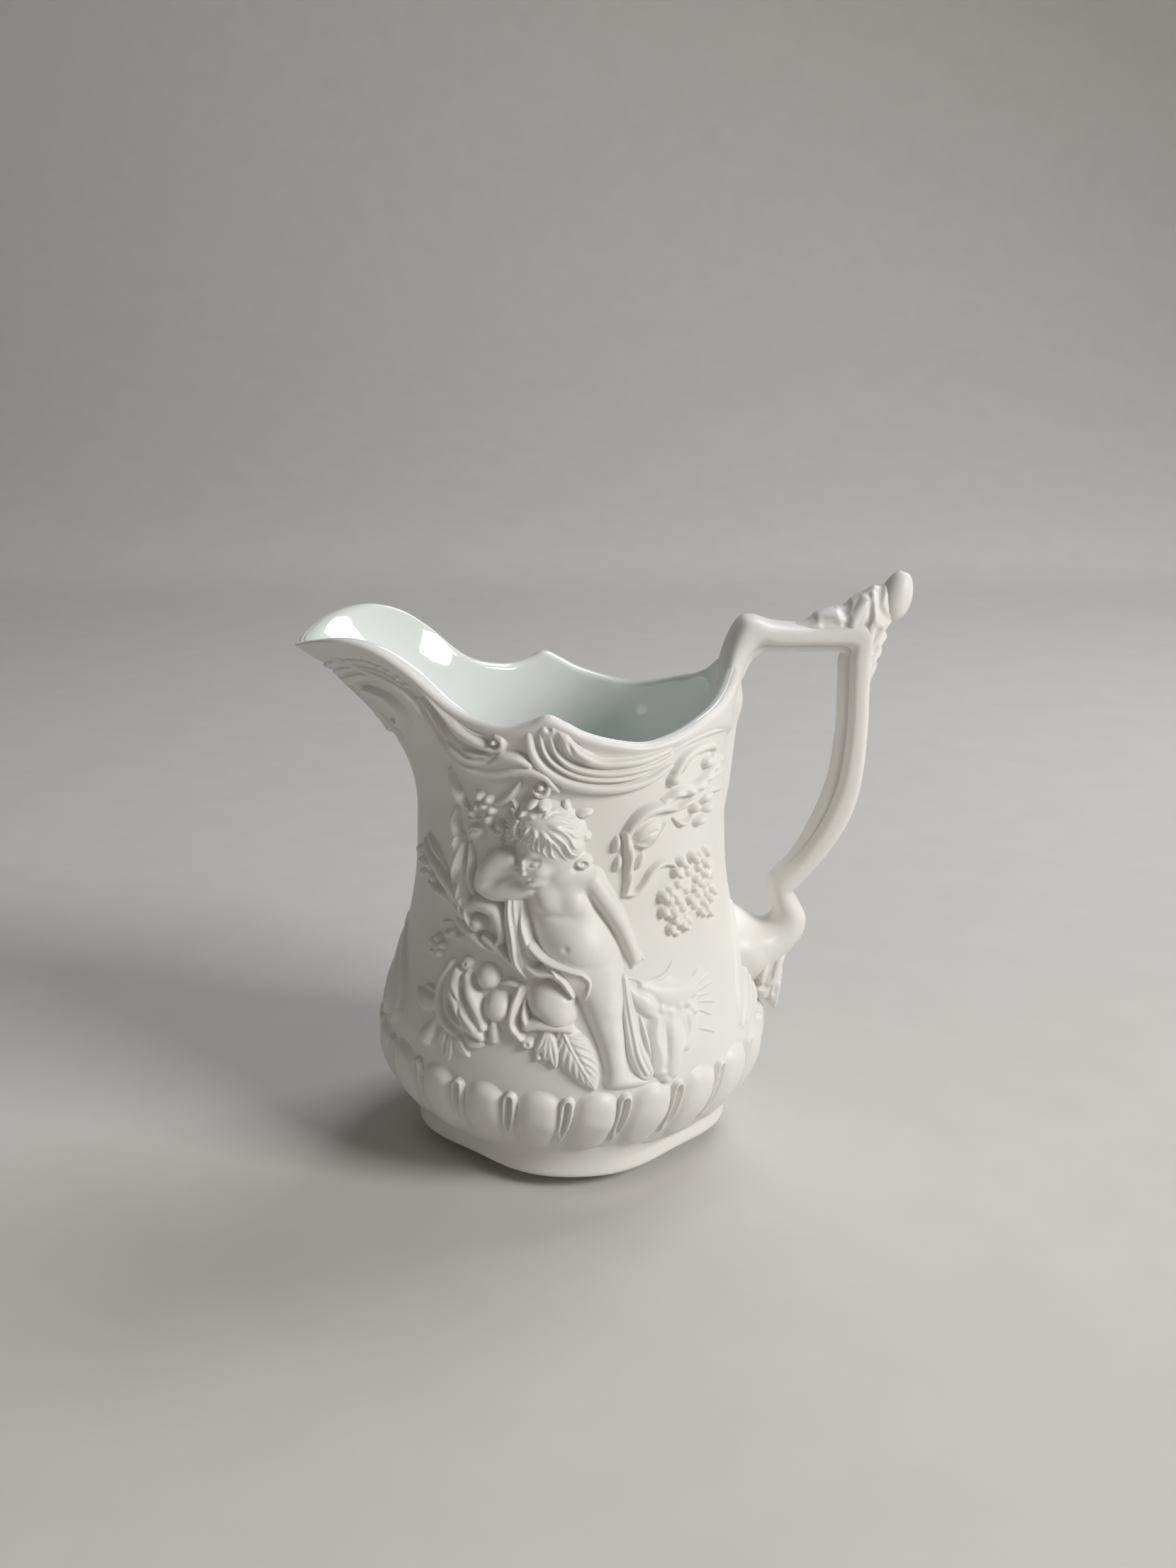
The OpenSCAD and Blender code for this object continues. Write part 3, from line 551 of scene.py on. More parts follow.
def tree():
    c = Clay((-47, 42), (-10, 83))
    bark = twist(5.5, 0.9, 0.7)
    c.stroke([(-28.4, 80.6, 0.7, 1), (-27.6, 78, 1.2, 1.8), (-26.2, 75.6, 1.4, 2), (-24.4, 74, 0.5, 1.2)])
    c.stroke([(-27.2, 73, 0.8, 1.2), (-27.8, 70.6, 1.4, 2), (-27.2, 68, 1.3, 2), (-26.4, 66.4, 1, 1.8)])
    c.stroke([(-26.4, 67.6, 1.5, 2), (-26.2, 63.6, 2.1, 2.6), (-25.6, 59.6, 2.2, 2.7), (-24.6, 56, 2.2, 2.7),
              (-23, 52.8, 1.6, 2.4), (-20.8, 51, 1.2, 2)], detail=bark)
    c.ridge([(-26.6, 66.4), (-27.6, 63.6), (-26.8, 61)], 0.45, -1.1)
    c.ridge([(-25.2, 62), (-26.4, 59.4), (-25.4, 57)], 0.45, -1)
    c.ridge([(-24, 58), (-25, 55.6), (-24, 53.6)], 0.4, -0.9)
    c.rib([(-23.6, 66.8), (-23, 63.4), (-23.2, 60), (-22.4, 57)], 0.7, 1.9)
    # Knot
    c.stroke([(-23.4, 52.8, 1, 2), (-22.2, 55, 1.5, 2.7), (-19.2, 55.6, 1.8, 3), (-16.4, 54.6, 1.8, 3),
              (-15.2, 52.2, 1.5, 2.8), (-15, 50, 1.1, 2.2), (-16, 48.4, 0.8, 1.8)], blend=0.4)
    c.pad(-20.6, 51.8, 2, 1.7, 2.8, blend=0.5)
    c.ridge([(-19, 53.4), (-17.9, 51.8), (-18.2, 50)], 0.8, -1.6)
    # Roots
    c.stroke([(-26.4, 51, 0.9, 1.2), (-23, 49.8, 1, 1.8), (-19.6, 48, 0.9, 1.8), (-16.4, 46.8, 0.5, 1.2)])
    c.stroke([(-19, 49.4, 0.9, 1.8), (-15.6, 47.6, 1, 2), (-13.4, 46.2, 0.9, 2), (-11.6, 44.6, 0.7, 1.6)])
    # Leaves that fan out to the left
    c.rib([(-23.6, 52), (-27.6, 56.2), (-31, 58.8), (-36, 61.4), (-41, 64)], 1.1, 1.9, ends=(0.7, 0.4))
    c.rib([(-26, 52.6), (-29.6, 56.8), (-33.6, 59.4), (-39.6, 62)], 0.8, 1.7)
    c.rib([(-25.4, 52.2), (-29.4, 55), (-33.6, 55.6), (-38.6, 56)], 1, 1.7, ends=(0.7, 0.4))
    c.rib([(-31, 60.4), (-35, 63.4), (-39, 65.6)], 0.7, 1.3)
    c.soften()
    return c


def blossoms():
    c = Clay((-46, 41), (6, 82))
    c.pads([(-20.6, 76.6), (-18.4, 76.2), (-17.8, 74.2), (-21.2, 74.4), (-22.6, 73.2), (-18.7, 72.2),
            (-15.9, 71.4), (-19.6, 74.9)], 1.25, 1.15, 1.9, blend=0.15)
    c.pad(-22, 69.4, 2.5, 1.7, 2, turn=10, blend=0.2)
    c.ridge([(-23.6, 69), (-22, 69.9), (-20.4, 69.6)], 0.35, -0.5)
    c.pad(-16.4, 68.8, 1.1, 1.3, 1.5, blend=0.2)
    c.rib([(-24.4, 71.8), (-23, 71.6), (-21, 72.2)], 0.5, 1.2)
    c.rib([(-20.6, 71.4), (-18, 70.4), (-16.2, 69.8), (-15, 70.4)], 0.5, 1.3)
    c.rib([(-11.4, 80.2), (-13, 78), (-15, 76.3), (-17, 75.4)], 0.9, 1.5, ends=(0.6, 0.6))
    c.rib([(-13.4, 77), (-12.2, 75.4), (-12.4, 73.6)], 0.5, 1.3)
    # Leaves of the wreath on the hair
    wreath = ((-1.8, 76, 1.4, 0.95, 100), (1.8, 74.6, 2, 0.9, 5), (1.7, 70.2, 1.8, 1.2, -8))
    for u, z, along, across, turn in wreath:
        c.pad(u, z, along, across, 1.7, turn=turn, blend=0.2)
        c.bump(u, z, 0.5 * along, 0.4 * across, -0.25, turn=turn)
    c.pad(0.4, 72.6, 1, 0.9, 1.5)
    # Berries at the tips of the fan
    c.pads([(-38, 57.9), (-35.4, 57.4), (-41, 57.2), (-42.4, 59.3), (-40, 59.4), (-43.4, 61.4),
            (-37.6, 59.6)], 1.1, 1.05, 1.5, blend=0.12)
    # Small flower on its stem
    c.rib([(-32.4, 48.6), (-30.6, 49.8), (-27.6, 50.4)], 0.35, 0.7)
    flower = (-31.8, 44.8)
    c.pads(ring_of(*flower, 1.9, 5, start=0.4, stretch=0.85) + [flower], 1.05, 0.95, 1.4, blend=0.12)
    c.pads([(-29, 47.9), (-25.6, 47.9), (-27.2, 48.6)], 1.1, 0.9, 1.2, blend=0.15)
    c.soften()
    return c


def vine_bough():
    c = Clay((5, 55), (48, 84))
    # Curled leaf at the left end
    c.stroke([(10.8, 69.6, 1, 1.8), (12.4, 72, 1.2, 2.2), (15, 73.8, 1.3, 2.4), (18.6, 74.4, 1.2, 2.3),
              (22, 73.8, 0.9, 1.8)], blend=0.25)
    c.pad(15.6, 70.4, 3.6, 3, 1.9, turn=35, blend=0.5)
    c.ridge([(12.6, 70.4), (14.6, 71.9), (17.4, 72.6), (20.6, 72)], 0.5, -0.6)
    c.ridge([(13.2, 68.4), (15.6, 69.8), (18, 70.2)], 0.4, -0.45)
    c.rib([(13.2, 67.6), (15.4, 67.4), (18, 69.2), (20.4, 71)], 0.6, 1.8)
    # Bough towards the handle
    c.stroke([(19.6, 75.2, 0.9, 1.4), (23.6, 76.6, 1.2, 1.9), (28, 76.4, 1.3, 2), (31.6, 77.6, 1.4, 2.1),
              (35.6, 79.6, 1, 1.7), (40, 80.4, 0.8, 1.2)], detail=twist(3.4, 0.5, 0.25))
    c.rib([(22.6, 73), (25.6, 74), (29, 74.6), (32, 75.6)], 0.8, 1.6)
    c.rib([(33.6, 76.8), (38, 77.6), (43.6, 77.4)], 0.7, 1.1)
    c.rib([(35, 74.6), (39, 74.4), (44, 73.6)], 0.8, 1)
    c.rib([(22.4, 71.6), (24.4, 70.2), (26.6, 70.4), (28.6, 72)], 0.6, 1.3)
    lobes = ((33, 74, 2.4, 1.4), (33.4, 71.6, 1.9, 1.1), (31, 69.8, 2.6, 1.2), (28.8, 72.6, 1.7, 1.2))
    for u, z, along, across in lobes:
        c.pad(u, z, along, across, 1.9, turn=8, blend=0.15)
    # Stem with narrow leaves, and a tendril
    c.stroke([(10.6, 70, 0.9, 1.9), (11.4, 66.6, 1.1, 2), (11.4, 62.6, 1, 1.8), (10.8, 58.4, 0.8, 1.3)],
             detail=twist(5, 0.4, 0.2))
    c.pad(8.7, 68.2, 0.9, 1.8, 1.6, turn=-12, blend=0.2)
    c.pad(9, 64.4, 0.9, 1.7, 1.4, turn=-14, blend=0.2)
    c.pad(13.9, 64.4, 0.8, 2, 1.4, turn=-30, blend=0.2)
    c.rib([(10.4, 58.3), (12.8, 58.2), (14.8, 59.8), (16.4, 61.8), (18.8, 63.1), (21.4, 62.9), (23.6, 61.4)],
          0.75, 1.4, ends=(0.8, 0.7))
    c.soften()
    return c


GRAPE_ROWS = [
    (62.7, (24.4, 27.7, 30.6, 33)), (60.6, (22.7, 26.4, 29.4, 31.7, 33.7)), (58.6, (23.4, 28.3, 31.6, 33.9)),
    (57, (19.3, 21.2, 25.6, 27.5, 29.9, 32.9)), (55.2, (20.8, 23, 26, 28.9, 31.8, 34)),
    (53.4, (19.3, 21.6, 24.4, 27.5, 30.5, 33.3)), (51.6, (22, 24.8, 29.2, 31.8)), (50.2, (20.9, 23.4)),
]


def grapes():
    c = Clay((15, 45), (38, 67))
    c.pad(27.2, 56, 8, 7, 0.9, turn=-20, blend=0.6)
    for row, (z, places) in enumerate(GRAPE_ROWS):
        for k, u in enumerate(places):
            nudge = 0.35 * math.sin(2.3 * k + 1.7 * row)
            high = 1.9 + 0.4 * math.sin(1.9 * k + 2.6 * row)
            c.pad(u, z + nudge, 1.25, 1.15, high, blend=0.15, base=0.3)
            c.pad(u + 1.4, z - 1 + nudge, 0.9, 0.85, high - 0.5, blend=0.15, base=0.2)
    c.soften()
    return c


def fruit():
    c = Clay((-39, 22), (2, 47))
    # Round fruits, the large one under the cloth
    c.pad(-4.5, 38.8, 4.8, 4, 3.3, blend=0.5)
    c.pad(-3.4, 36.6, 3.6, 3, 3, blend=0.8)
    c.soften(4)
    c.pad(-17.4, 42, 2.7, 2.5, 2.4)
    c.pad(-14.8, 36.9, 3, 3, 2.7)
    c.pad(-22.7, 43.5, 1.5, 1.4, 1.6)
    c.bump(-22.7, 43.6, 0.6, 0.5, -0.6)
    # Open husk with long crumpled lobes
    c.pad(-23, 36.8, 4.4, 6.6, 1.7, turn=28, blend=0.6)
    c.stroke([(-26.6, 42.6, 1, 1.4), (-28, 39.4, 1.2, 1.8), (-27.8, 35.6, 1.2, 1.9), (-26, 32.2, 1.1, 1.7),
              (-22.8, 30.4, 0.8, 1.3)])
    c.stroke([(-24.6, 41.8, 1.2, 1.9), (-24, 38.6, 1.9, 2.8), (-21.6, 35.4, 2, 3), (-19, 32.6, 1.7, 2.6),
              (-17.2, 30.8, 0.9, 1.6)])
    c.stroke([(-22, 41.6, 0.9, 1.8), (-20.4, 38.6, 1.4, 2.6), (-18.4, 35.6, 1.4, 2.6), (-17, 32.8, 1, 2)],
             blend=0.2)
    c.rib([(-26.6, 39.8), (-26, 36.4), (-24.2, 33.6), (-21.6, 31.6)], 0.7, 1.8, blend=0.15)
    c.ridge([(-25.4, 37), (-23.9, 34.4), (-21.8, 32.2)], 0.6, -1.3)
    c.ridge([(-22.6, 39.6), (-20.6, 36.4), (-18.6, 33.6)], 0.4, -0.8)
    for shift in (-1, -0.1, 0.8):
        c.ridge([(-24.2 + 1.3 * k + shift + 0.4 * math.sin(1.9 * k + 2 * shift), 40.6 - 1.7 * k + 0.5 * shift)
                 for k in range(6)], 0.4, -0.55)
    # Pears with stalks
    c.stroke([(-35.4, 35, 0.6, 0.6), (-33.6, 34.6, 1.4, 1.3), (-30.8, 34.2, 2.2, 1.9),
              (-28.8, 34.6, 1.6, 1.5)])
    c.stroke([(-27.4, 32.2, 1.2, 1.4), (-28.2, 30, 1.5, 1.7), (-29.4, 27.9, 2.2, 2.1)])
    c.rib([(-33.4, 36.6), (-31, 36.8), (-29, 36.2)], 0.5, 0.9)
    # Petals and a drop below
    petals = (
        [(-25, 31), (-25.4, 28.6), (-25.2, 25.6)], [(-23.8, 30), (-23.4, 27.4), (-23.8, 24.6)],
        [(-22.6, 30.2), (-21.2, 28.4), (-19.4, 26.4)], [(-20.8, 30.4), (-18.6, 29.4), (-16.4, 29.6)],
    )
    for spine in petals:
        c.leaf(spine, 1.1, 1.3)
    c.stroke([(-15.4, 34, 0.6, 1.2), (-15, 32.2, 1.1, 1.5), (-14.8, 30.8, 0.9, 1.2)])
    c.soften()
    return c


def foot_leaves():
    c = Clay((-17, 19), (7, 44))
    c.leaf([(-14.6, 41.2), (-12.4, 41.6), (-10.4, 40.6)], 0.8, 1.5)
    c.stroke([(-10.6, 40.8, 0.9, 1.6), (-11.4, 37.4, 1.2, 2), (-11.6, 34, 1.2, 2), (-9.9, 31.8, 0.9, 1.7)],
             detail=folds(1.4, 0.25))
    c.rib([(-9.6, 38.4), (-9.4, 36), (-8.6, 33.2)], 0.7, 2.2)
    c.stroke([(-8.8, 34.2, 1.2, 2), (-6.4, 34.6, 1.3, 2.2), (-3.8, 34.4, 1.2, 2.2), (-1, 33.8, 0.8, 2)])
    c.pad(-8.6, 30.9, 1.3, 1.2, 1.6, blend=0.2)
    c.bump(-8.6, 30.9, 0.6, 0.5, -0.7)
    # Leaf with rounded lobes
    for tip_u, tip_z, width in ((-7.2, 29.2, 1.2), (-5.4, 27.8, 1.3), (-3.6, 26.6, 1.3)):
        c.leaf([(-5, 34), ((tip_u - 4.6) / 2, (tip_z + 33) / 2), (tip_u, tip_z)], width, 1.7, blend=0.15)
    c.pad(-6.6, 28.6, 0.8, 0.8, 1.2, blend=0.15)
    # Toothed leaf
    c.leaf([(-2.6, 34), (-0.6, 30), (1.2, 26.4), (3, 22.4)], 3.1, 1.8, veins=7, teeth=7, lean=0.35)
    c.rib([(-2.2, 33.2), (-0.4, 29.4), (1.4, 25.8), (3, 22.6)], 0.35, 1.9, ends=(1, 0.6))
    c.soften()
    return c


def hanging_skin():
    c = Clay((8, 19), (33, 47))
    c.rib([(9.8, 42.8), (12, 41.7), (15, 41.1), (18, 41.6), (20, 43), (21.2, 44.9)], 0.4, 0.8)
    c.stroke([(9.6, 41.4, 0.7, 0.8), (11.2, 39.2, 1.2, 1.4), (13.4, 37.2, 2.2, 2.1), (14.2, 35.6, 1.4, 1.8)])
    c.stroke([(13, 40.4, 0.9, 1), (17, 38.4, 2.2, 1.6), (21, 37.6, 2.4, 1.6),
              (24, 37.6, 1.6, 1.3)], blend=0.8)
    c.stroke([(18.6, 37, 4, 1.2), (17.8, 32, 4.4, 1.4), (16.8, 27, 3, 1.3), (16.2, 23.6, 2, 1.1)], blend=0.8)
    # Scalloped hem
    c.pads([(16.4, 35.8), (18.2, 35), (20.2, 35.9), (22.2, 35.7), (23.6, 34)], 1.3, 1.2, 1.7, blend=0.2)
    # Hanging folds
    c.stroke([(15.4, 34.4, 1.2, 1.4), (14.6, 31, 1.8, 1.9), (14.8, 27.4, 1.9, 1.9), (14.4, 24.4, 1.3, 1.5)],
             detail=folds(2, 0.2))
    c.stroke([(18.4, 34, 1.5, 1.6), (18.4, 30.4, 2.2, 2.1), (17.6, 27, 2, 2.1), (17.2, 23.8, 1.7, 1.8)],
             blend=0.3)
    c.stroke([(22.4, 33.4, 1.2, 1.3), (22.2, 30.6, 1.4, 1.5), (20.4, 28, 1.2, 1.5)], blend=0.25)
    c.ridge([(16.6, 33.6), (16.4, 30), (16, 26)], 0.5, -0.6)
    c.ridge([(20.4, 33.4), (20.2, 30.6), (18.8, 27.8)], 0.4, -0.5)
    c.pads([(15, 24.2), (17.2, 23.4), (16, 22.4)], 1.2, 1, 1.7, blend=0.25)
    # Fern fronds behind
    fronds = (
        ((24, 39), (29, 41.4)), ((25, 38), (30.2, 39.2)), ((25.4, 37), (30.8, 37.4)),
        ((25.4, 36), (29.6, 35.6)), ((25, 35), (30, 33.6)), ((24.8, 33.6), (28, 31.6)),
        ((23.7, 30.4), (28, 28.3)),
    )
    for (u0, z0), (u1, z1) in fronds:
        c.rib([(u0, z0), ((u0 + u1) / 2, (z0 + z1) / 2 + 0.3), (u1, z1)], 0.45, 0.75)
    c.soften(3)
    c.press(0.72)
    c.soften()
    return c


def handle_blade_leaves():
    c = Clay((33, 22), (77, 50), step=0.2)
    blades = (
        [(49, 47.5), (47, 44), (42.4, 38), (38.4, 31), (36.6, 27.2)],
        [(50, 42), (46.4, 35), (41.6, 29.6), (37.6, 26)],
        [(50, 36.5), (46.4, 31), (43, 28), (40, 26)],
        [(51, 33), (49, 28.5), (46, 25.6)],
    )
    for mirrored in (False, True):
        for k, points in enumerate(blades):
            line = [(2 * HANDLE_U - u if mirrored else u, z) for u, z in points]
            c.rib(line, 1.25 - 0.1 * k, 0.8, ends=(0.8, 0.5), blend=0.2)
            c.ridge(line, 0.35, -0.2)
    c.soften()
    return c


EGG_PITCH = 2 * math.pi * WRAP_R / EGGS
TONGUE_SHIFT = -1.5   # the tongues' middles from the front, in u
EGG_TOP = 21.4        # at the front and the back
EGG_RISE = 3.6        # how much higher the band is at the spout and the handle


def egg_top(u):
    """Height of the tops of the eggs."""
    return EGG_TOP + EGG_RISE * math.cos(angle_of(u)) ** 2


def band_clay():
    """A strip of clay all round the belly, with a little overlap."""
    return Clay((-WRAP_R * math.pi, 5), (WRAP_R * math.pi + 10, 27), step=0.25)


def gadroon_eggs():
    c = band_clay()
    for k in range(-EGGS // 2, EGGS // 2 + 1):
        u = TONGUE_SHIFT + (k + 0.5) * EGG_PITCH
        top = egg_top(u)
        c.stroke([(u, top - 3.9, 3.9, 1.7), (u - 0.4, top - 6.6, 4.1, 1.8), (u - 1, 13, 3.9, 1.5),
                  (u - 1.8, 9.6, 3.2, 1)], blend=0.3)
    c.soften()
    return c


def gadroon_tongues():
    c = band_clay()
    for k in range(-EGGS // 2, EGGS // 2 + 1):
        u = TONGUE_SHIFT + k * EGG_PITCH
        top = egg_top(u) - 0.6
        foot = (u - 1.8, 9.4, 0.35, 0.6)
        half = [(1.15, 12.6, 0.6, 0.45, 1.1), (0.5, top - 5, 0.8, 0.5, 1.4), (0.1, top - 1.5, 0.75, 0.5, 1.5)]
        left = [(u - drift - out, z, wide, high) for drift, z, out, wide, high in half]
        right = [(u - drift + out, z, wide, high) for drift, z, out, wide, high in half]
        c.stroke([foot, *left, (u, top - 0.6, 0.5, 1.5), *right[::-1], foot], blend=0.25)
    c.soften()
    return c


# Reliefs whose mirror image is on the far side, and those that are made once; each is named as its node
MIRRORED = (
    rim_scroll, spout_scroll, putto, drapery, tree, blossoms, vine_bough, grapes, fruit, foot_leaves,
    hanging_skin,
)
SINGLE = (spout_beading, spout_cartouche, gadroon_eggs, gadroon_tongues, handle_blade_leaves)

# ---------------------------------------------------------------- meshes


def build(name, points, faces, node, look):
    """A smooth-shaded mesh piece from points in millimetres."""
    mesh = bpy.data.meshes.new(name)
    sizes = np.array([len(f) for f in faces], np.int32)
    starts = np.concatenate([[0], np.cumsum(sizes)[:-1]]).astype(np.int32)
    mesh.vertices.add(len(points))
    mesh.vertices.foreach_set("co", (np.asarray(points, float) * MM).ravel())
    mesh.loops.add(int(sizes.sum()))
    corners = np.concatenate([np.asarray(f).ravel() for f in faces]).astype(np.int32)
    mesh.loops.foreach_set("vertex_index", corners)
    mesh.polygons.add(len(faces))
    mesh.polygons.foreach_set("loop_start", starts)
    mesh.polygons.foreach_set("use_smooth", np.ones(len(faces), bool))
    mesh.update(calc_edges=True)
    place(name, mesh, node, look)


def place(name, mesh, node, look):
    """Makes a mesh a piece of the jug that stands for a CAD node."""
    mesh.materials.append(look)
    piece = bpy.data.objects.new(name, mesh)
    bpy.context.scene.collection.objects.link(piece)
    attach(piece, "root")
    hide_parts(node)


def grid_faces(rows, columns, wrap_rows=False, wrap_columns=False):
    """Quads over a grid of points stored row by row."""
    j = np.arange(rows if wrap_rows else rows - 1)[:, None]
    i = np.arange(columns if wrap_columns else columns - 1)[None, :]
    j2, i2 = (j + 1) % rows, (i + 1) % columns
    quads = np.stack([j * columns + i, j * columns + i2, j2 * columns + i2, j2 * columns + i], -1)
    return quads.reshape(-1, 4)


def on_wall(u, z, height, side=1):
    """Points standing off the wall; side -1 puts them on the far side of the jug."""
    angle = angle_of(u)
    r = wall_radius(angle, z) + height
    return np.stack([r * np.cos(angle), side * r * np.sin(angle), z], -1)


def relief_piece(node, clay, look, side=1):
    """The clay as a closed solid for a node: its face, its back inside the wall, and a narrow edge."""
    h = clay.heights()
    full = h > -0.95 * SUNK
    cells = full[:-1, :-1] | full[1:, :-1] | full[:-1, 1:] | full[1:, 1:]
    cells[0], cells[-1], cells[:, 0], cells[:, -1] = False, False, False, False
    for _ in range(4):  # no two cells touch at a corner alone
        a, b, c, d = cells[:-1, :-1], cells[:-1, 1:], cells[1:, :-1], cells[1:, 1:]
        cross = (a & d & ~b & ~c) | (b & c & ~a & ~d)
        for part in (a, b, c, d):
            part |= cross
    rows, columns = h.shape
    quads = grid_faces(rows, columns)[cells.ravel()]
    u, z = np.meshgrid(clay.u, clay.z)
    face = on_wall(u, z, h, side).reshape(-1, 3)
    back = on_wall(u, z, np.full_like(h, -BACK), side).reshape(-1, 3)
    count = rows * columns
    edges = np.concatenate([quads[:, [k, (k + 1) % 4]] for k in range(4)])
    code = edges[:, 0].astype(np.int64) * count + edges[:, 1]
    reverse = edges[:, 1].astype(np.int64) * count + edges[:, 0]
    rim = edges[~np.isin(code, reverse)]
    walls = np.stack([rim[:, 1], rim[:, 0], rim[:, 0] + count, rim[:, 1] + count], -1)
    faces = np.concatenate([quads, quads[:, ::-1] + count, walls])
    if side < 0:
        faces = faces[:, ::-1]
    used, faces = np.unique(faces, return_inverse=True)
    build(node + "_clay", np.concatenate([face, back])[used], faces.reshape(-1, 4), node, look)


def turned(name, sections, node, look, close_first=None, close_last=None):
    """A solid turned about the jug's axis: sections is (angles, rows, 2) of radius and height."""
    count, rows, _ = sections.shape
    angle = np.linspace(0, 2 * math.pi, count, endpoint=False)[:, None]
    r, z = sections[..., 0], sections[..., 1]
    points = np.stack([r * np.cos(angle), r * np.sin(angle), z], -1).reshape(-1, 3)
    looped = close_first is None
    faces = [tuple(q) for q in grid_faces(count, rows, wrap_rows=True, wrap_columns=looped)[:, ::-1]]
    for height, column in ((close_first, 0), (close_last, rows - 1)):
        if height is None:
            continue
        centre = len(points)
        points = np.vstack([points, [0, 0, height]])
        ring = [k * rows + column for k in range(count)]
        pairs = zip(ring, ring[1:] + ring[:1])
        faces += [(centre, b, a) if column == 0 else (centre, a, b) for a, b in pairs]
    build(name, points, faces, node, look)


TURNS = 432           # points round the body
OUTER_ROWS = 120      # points up its outer face
LIP_ROWS = 12         # points over the lip
INNER_ROWS = 60       # points down the inner face, as far as the corner with the floor
LIP_RISE = 1.25       # height of the rounded lip
BAND_OUT = 0.75       # how far the band under the lip stands out
BAND_EDGE = 1.0       # height over which the band's lower edge rounds off
DISH = 0.4            # how much lower the underside is in the middle than at the foot
LINING_BACK = 0.25    # how far the lining's back lies inside the wall
LINING_EDGE_ROWS = 4  # rows over which the glaze thins out at the lip


def wall_section(angle):
    """The outer face, the lip and the inner face at one direction, as three lists of (radius, height)."""
    crest = float(rim_height(angle))
    lean = float(wall_radius(angle, crest) - wall_radius(angle, crest - 1))
    along = np.array([lean, 1]) / math.hypot(lean, 1)
    shoulder = crest - LIP_RISE * along[1]
    z = FOOT_H + (shoulder - FOOT_H) * np.linspace(0, 1, OUTER_ROWS)
    over = np.clip((z - float(curve(BAND_LOW, from_handle(angle)))) / BAND_EDGE + 0.5, 0, 1)
    outer = np.stack([wall_radius(angle, z) + BAND_OUT * over**2 * (3 - 2 * over), z], -1)
    z = FLOOR_Z + FLOOR_BEND + (shoulder - FLOOR_Z - FLOOR_BEND) * np.linspace(1, 0, INNER_ROWS)
    inner = np.stack([wall_radius(angle, z) - WALL, z], -1)
    turn = np.linspace(0, math.pi, LIP_ROWS + 2)[1:-1, None]
    middle, half = (outer[-1] + inner[0]) / 2, (outer[-1] - inner[0]) / 2
    lip = middle + half * np.cos(turn) + LIP_RISE * along * np.sin(turn)
    last = inner[-1]
    bend = np.linspace(0, math.pi / 2, 8)[1:, None]
    corner = np.hstack([last[0] - FLOOR_BEND * (1 - np.cos(bend)), last[1] - FLOOR_BEND * np.sin(bend)])
    floor = np.stack([np.linspace(corner[-1, 0], FLOOR_HUB, 6)[1:], np.full(5, FLOOR_Z)], -1)
    return outer, lip, np.vstack([inner, corner, floor])


def make_body(bisque, glaze):
    angles = np.linspace(0, 2 * math.pi, TURNS, endpoint=False)
    parts = [wall_section(a) for a in angles]
    # The underside sags towards the middle
    under = np.array([[20, FOOT_H - 0.75 * DISH], [31, FOOT_H - 0.25 * DISH]])
    body = np.array([np.vstack([under, outer, lip, inner]) for outer, lip, inner in parts])
    turned("body_wall", body, "body_shell", bisque, close_first=FOOT_H - DISH, close_last=FLOOR_Z)

    start = LIP_ROWS // 2 - 1
    lining = np.array([np.vstack([lip[start:], inner]) for _, lip, inner in parts])
    tangent = np.gradient(lining, axis=1)
    normal = np.stack([tangent[..., 1], -tangent[..., 0]], -1)
    normal /= np.linalg.norm(normal, axis=-1, keepdims=True)
    rows = lining.shape[1]
    stand = np.clip(np.arange(rows) / LINING_EDGE_ROWS, 0, 1)[None, :, None]
    face = lining + normal * (GLAZE * np.sqrt(stand) - SUNK * (1 - stand))
    back = (lining - normal * LINING_BACK * (0.15 + stand))[:, ::-1]
    turned("glaze_skin", np.concatenate([face, back], axis=1), "glaze_lining", glaze)


FOOT_TURNS = 360      # points round the foot
FOOT_TUCK = 0.12      # how far its upper edge lies under the wall's face


def make_foot(bisque):
    sections = []
    for angle in np.linspace(0, 2 * math.pi, FOOT_TURNS, endpoint=False):
        r = FOOT_R - FOOT_HOLLOW * ((1 - math.cos(FOOT_LOBES * angle)) / 2) ** 1.5
        joint = float(wall_radius(angle, FOOT_JOINT_Z)) - FOOT_TUCK
        outer = path([(r - 1.1, 0), (r - 0.35, 0.16), (r, 0.8), (r - 0.12, 2.2), (r - 0.1, 3.6),
                      (r * 0.72 + joint * 0.28, 5.2), (r * 0.3 + joint * 0.7, 6.4), (joint, FOOT_JOINT_Z)], 4)
        inner = [(joint - 2.5, 7), (RECESS_R + 0.4, FOOT_H), (RECESS_R, FOOT_H - 0.8), (RECESS_R + 0.2, 1),
                 (RECESS_R + 0.9, 0.12), (RECESS_R + 2, 0)]
        sections.append(np.vstack([outer, path(inner, 3)]))
    turned("foot", np.array(sections), "foot_ring", bisque)


